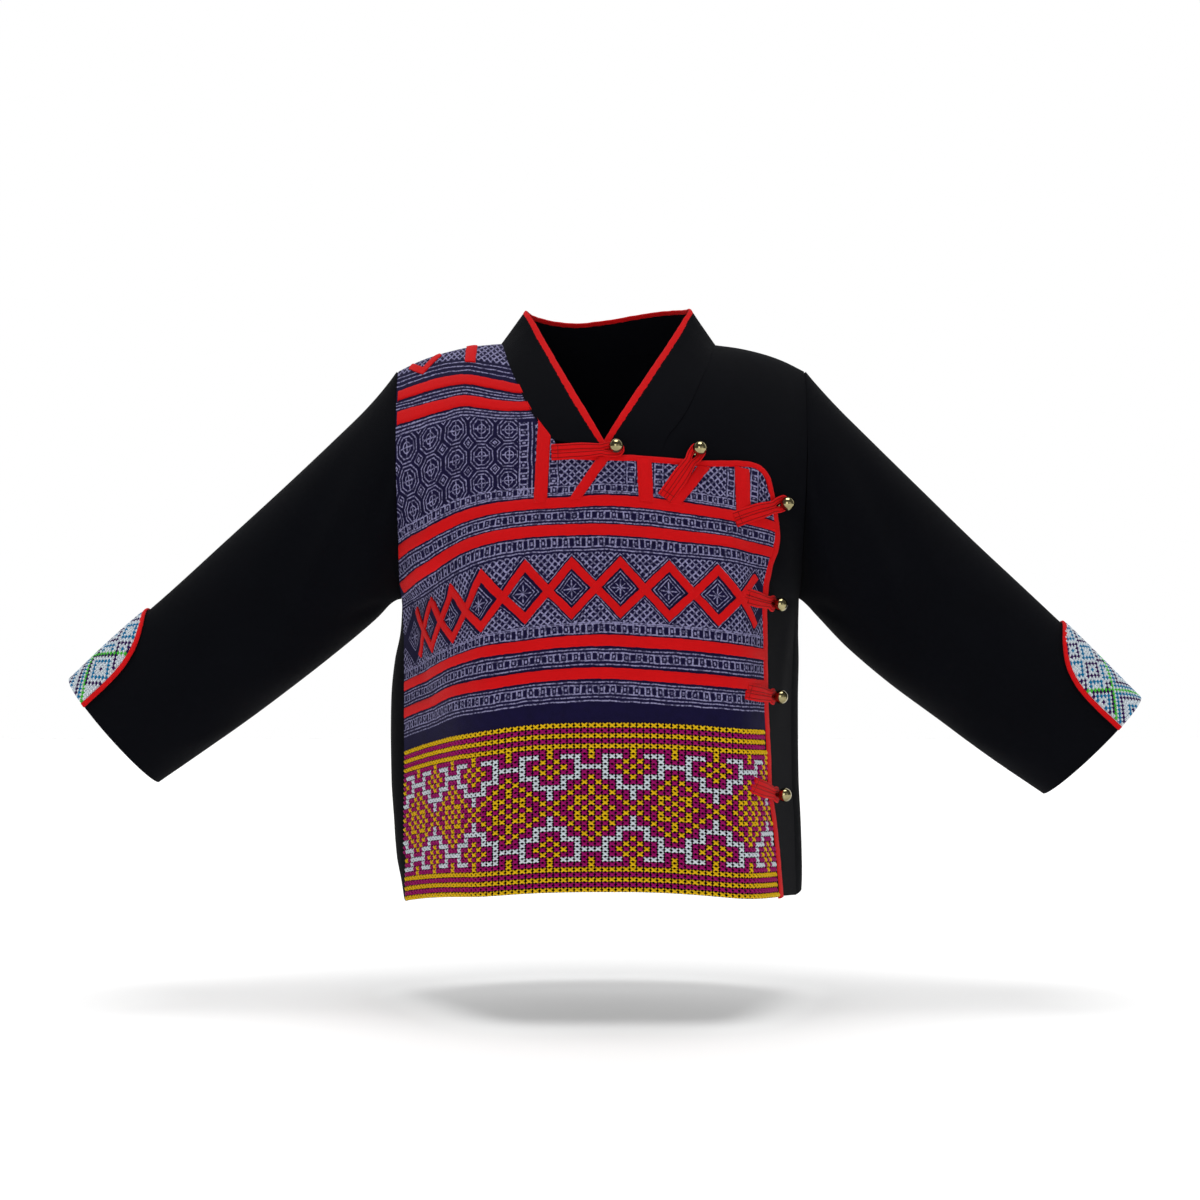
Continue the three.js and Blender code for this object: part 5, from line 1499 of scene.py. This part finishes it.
def coloured_thread(context, word):
    """Thread in one of the add-on's colours."""
    shade = tuple(getattr(colours(context), word))
    return kept(f"thread_{word}", lambda name: thread_material(name, shade))


class JACKET_OT_fronts(bpy.types.Operator):
    """Builds the batik panel, the band below it and the plain front beneath"""

    bl_idname = "jacket.fronts"
    bl_label = "Fronts"

    def execute(self, context):
        columns = np.concatenate([np.linspace(-1, 0, 91)[:-1], np.linspace(0, 1, 81)])
        x, z = front_grid(columns, np.linspace(0, 1, 133), band_height, overlap_top_height, True)
        ground, wax = tuple(colours(context).batik), tuple(colours(context).wax)
        batik = kept("batik_cotton", lambda name: batik_material(name, ground, wax))
        shape = front_cloth(x, z, overlap_lift(x), drawn=True)
        add_piece("cloth_front_batik", shape, batik, ["front_batik"])
        x, z = front_grid(columns, np.linspace(0, 1, 57), hem_height, band_height, True)
        shape = front_cloth(x, z, overlap_lift(x))
        add_piece("cloth_band", shape, black_cloth(context), ["embroidered_band"])
        columns, ups = np.linspace(-0.07, 1, 91), np.linspace(0, 1, 151)
        shape = front_cloth(*front_grid(columns, ups, hem_height, underlap_top_height, False), 0)
        add_piece("cloth_underlap", shape, black_cloth(context), ["front_underlap"])
        return {"FINISHED"}


class JACKET_OT_applique(bpy.types.Operator):
    """Sews the red strips on the batik"""

    bl_idname = "jacket.applique"
    bl_label = "Appliqué"

    def execute(self, context):
        strips = applique_pieces(sizes(context)["stripe"])
        for k, first in enumerate((1, -1)):
            strips[f"zigzag_{k + 1}"] = (zigzag(first), sizes(context)["diamonds"], 0.3 * (k + 1), False)
        for k, (name, strip) in enumerate(strips.items()):
            add_piece(f"applique_{name}", applique(*strip, seed=k * 7), red_cloth(context))
        return {"FINISHED"}


class JACKET_OT_band_stitches(bpy.types.Operator):
    """Works the cross-stitches of the band, one piece to a colour"""

    bl_idname = "jacket.band_stitches"
    bl_label = "Band stitches"

    def execute(self, context):
        width = sizes(context)["band_thread"]
        words = {"y": "yellow", "m": "magenta", "w": "pale"}
        for k, (key, centres) in enumerate(band_stitches().items()):
            shape = crosses(centres, (STITCH_COLUMN, STITCH_ROW), FRONT.lay, 0.35, width, SEED + k, share=0.4)
            add_piece(f"stitches_{words[key]}", shape, coloured_thread(context, words[key]))
        return {"FINISHED"}


class JACKET_OT_back(bpy.types.Operator):
    """Builds the back panel"""

    bl_idname = "jacket.back"
    bl_label = "Back"

    def execute(self, context):
        around, level = np.meshgrid(np.linspace(-1, 1, 141), np.linspace(0, 2, 131))
        outer = on_back(around, level, CLOTH / 2)
        shape = wall(outer, on_back(around, level, -CLOTH / 2), uv=grid_lengths(outer))
        add_piece("cloth_back", shape, black_cloth(context), ["back_panel"])
        return {"FINISHED"}


class JACKET_OT_sleeves(bpy.types.Operator):
    """Builds both sleeves"""

    bl_idname = "jacket.sleeves"
    bl_label = "Sleeves"

    def execute(self, context):
        for side in SLEEVES:
            shape = sleeve_cloth(side)
            add_piece(f"cloth_sleeve_{side}", shape, black_cloth(context), [f"sleeve_{side}"])
        return {"FINISHED"}


class JACKET_OT_cuffs(bpy.types.Operator):
    """Builds the embroidered corners of the sleeves and their red piping"""

    bl_idname = "jacket.cuffs"
    bl_label = "Cuff corners"

    def execute(self, context):
        for side in SLEEVES:
            ground = kept("cuff_ground", lambda name: cloth_material(name, tuple(colours(context).pale)))
            add_piece(f"cloth_cuff_{side}", cuff_cloth(side), ground,
                      [f"cuff_embroidery_{side}"])
            add_piece(f"piping_{side}", cuff_piping(side), red_cloth(context),
                      [f"cuff_piping_{side}"])
            for word, shape in cuff_stitches(side, sizes(context)["cuff_thread"]).items():
                add_piece(f"stitches_{side}_{word}", shape, coloured_thread(context, word))
        return {"FINISHED"}


class JACKET_OT_collar(bpy.types.Operator):
    """Builds the collar and the red binding round its free edge"""

    bl_idname = "jacket.collar"
    bl_label = "Collar"

    def execute(self, context):
        add_piece("cloth_collar", collar_cloth(), black_cloth(context), ["collar"])
        add_piece("binding_neck", neck_binding(), red_cloth(context), ["neck_binding"])
        return {"FINISHED"}


class JACKET_OT_closing(bpy.types.Operator):
    """Builds the binding of the closing edge, the ball buttons and their loops"""

    bl_idname = "jacket.closing"
    bl_label = "Closing edge"

    def execute(self, context):
        add_piece("binding_overlap", overlap_binding(), red_cloth(context), ["overlap_binding"])
        brass = kept("ball_brass", lambda name: brass_material(name, tuple(colours(context).brass)))
        for k, button in enumerate(BUTTONS, 1):
            ball = ball_button(button["x"], button["z"], button["seat"])
            add_piece(f"ball_{k}", ball, brass, [f"button_{k}"])
            add_piece(f"loop_{k}", loop_shape(button), red_cloth(context), [f"button_loop_{k}"])
            add_piece(f"loop_stitches_{k}", loop_threads(button), dark_thread(context))
        return {"FINISHED"}


def dark_thread(context):
    """Sewing thread a shade darker than the red cloth."""
    shade = tuple(c * 0.3 for c in colours(context).red)
    return kept("thread_dark_red", lambda name: thread_material(name, shade))


def brass_material(name, colour):
    """Tarnished brass, darker in patches."""
    g = Graph(name, metallic=1.0, roughness=0.3)
    tarnish = g.noise(220.0, 3.0)
    dark = tuple(c * 0.25 for c in colour)
    g.put(g.shader, {"Base Color": g.mix(tarnish, dark, colour), "Roughness": tarnish * 0.16 + 0.08})
    g.bump(g.noise(900.0, 2.0), 0.05, 0.4)
    return g.material


class JACKET_OT_sheets(bpy.types.Operator):
    """Does nothing: its step returns at once"""

    bl_idname = "jacket.sheets"
    bl_label = "Cloth sizes"

    def execute(self, context):
        return {"FINISHED"}


class JACKET_OT_stage(bpy.types.Operator):
    """Sets the pale floor, the soft lights and the camera at the photograph's place"""

    bl_idname = "jacket.stage"
    bl_label = "Stage"

    def execute(self, context):
        scene = context.scene
        paper = Graph("floor", base_color=(0.9, 0.9, 0.9, 1), roughness=0.9, specular_ior_level=0)
        paper.put(paper.shader, {"Emission Color": (1, 1, 1, 1), "Emission Strength": 0.2})
        screen = Graph("screen", base_color=(0, 0, 0, 1), roughness=1, specular_ior_level=0)
        screen.put(screen.shader, {"Emission Color": (1, 1, 1, 1), "Emission Strength": 1.0})
        floor = [(-9, -4, FLOOR_HEIGHT), (9, -4, FLOOR_HEIGHT), (9, 3, FLOOR_HEIGHT), (-9, 3, FLOOR_HEIGHT)]
        backdrop = [(-9, 3, -2), (9, 3, -2), (9, 3, 5), (-9, 3, 5)]
        staged = []
        for name, corners, graph in (("floor", floor, paper), ("screen", backdrop, screen)):
            mesh = bpy.data.meshes.new(name)
            mesh.from_pydata(corners, [], [(0, 1, 2, 3)])
            mesh.materials.append(graph.material)
            staged.append(bpy.data.objects.new(name, mesh))
        for name, kind, place, strength, size in LIGHTS:
            light = bpy.data.lights.new(name, kind)
            light.energy = strength
            if kind == "SUN":
                light.angle = math.radians(size)
            else:
                light.size = size
            lamp = bpy.data.objects.new(name, light)
            lamp.location = place
            lamp.rotation_euler = (Vector((0, 0, -0.2)) - Vector(place)).to_track_quat("-Z", "Y").to_euler()
            staged.append(lamp)
        world = bpy.data.worlds.new("studio")
        world.use_nodes = True
        world.node_tree.nodes["Background"].inputs["Color"].default_value = (1, 1, 1, 1)
        world.node_tree.nodes["Background"].inputs["Strength"].default_value = WORLD_STRENGTH
        scene.world = world
        lens = bpy.data.cameras.new("camera")
        lens.lens, lens.sensor_width = CAMERA_LENS
        camera = bpy.data.objects.new("camera", lens)
        camera.location = CAMERA_PLACE
        camera.rotation_euler = (math.radians(90), 0, 0)
        staged.append(camera)
        for thing in staged:
            scene.collection.objects.link(thing)
        scene.camera = camera
        scene.view_settings.view_transform = "Standard"
        return {"FINISHED"}


# The floor's height and the camera's place in metres, and its lens and sensor in millimetres
FLOOR_HEIGHT = -0.490
CAMERA_PLACE = (-0.003, -1.6, -0.1905)
CAMERA_LENS = (64, 36)
WORLD_STRENGTH = 0.12
# Name, kind, place in metres, watts or sun strength, and size in metres or degrees
LIGHTS = [
    ("key", "AREA", (-0.6, -2.7, 0.35), 13, 1.4),
    ("fill", "AREA", (1.6, -2.2, 0.1), 3.6, 1.6),
    ("top", "SUN", (0, -0.15, 2.5), 2.1, 40),
]


class JACKET_PT_panel(bpy.types.Panel):
    """Lists the jacket's steps in the 3D view's sidebar"""

    bl_idname = "JACKET_PT_panel"
    bl_label = "Embroidered jacket"
    bl_space_type = "VIEW_3D"
    bl_region_type = "UI"
    bl_category = "Jacket"

    def draw(self, context):
        for step in STEPS:
            self.layout.operator(step.bl_idname)
        for group in (context.scene.jacket_sizes, context.scene.jacket_colours):
            for name in type(group).__annotations__:
                self.layout.prop(group, name)


STEPS = (
    JACKET_OT_fronts, JACKET_OT_applique, JACKET_OT_band_stitches, JACKET_OT_back, JACKET_OT_sleeves,
    JACKET_OT_cuffs, JACKET_OT_collar, JACKET_OT_closing, JACKET_OT_sheets, JACKET_OT_stage,
)
CLASSES = (JacketSizes, JacketColours, *STEPS, JACKET_PT_panel)


def register():
    """Registers the classes and their settings."""
    for cls in CLASSES:
        bpy.utils.register_class(cls)
    bpy.types.Scene.jacket_sizes = PointerProperty(type=JacketSizes)
    bpy.types.Scene.jacket_colours = PointerProperty(type=JacketColours)


def unregister():
    """Takes the settings and the classes away again."""
    del bpy.types.Scene.jacket_colours, bpy.types.Scene.jacket_sizes
    for cls in reversed(CLASSES):
        bpy.utils.unregister_class(cls)


def main():
    """Builds the jacket step by step."""
    register()
    for step in STEPS:
        getattr(bpy.ops.jacket, step.bl_idname.split(".")[1])()
    bpy.context.view_layer.update()


if __name__ == "__main__":
    main()
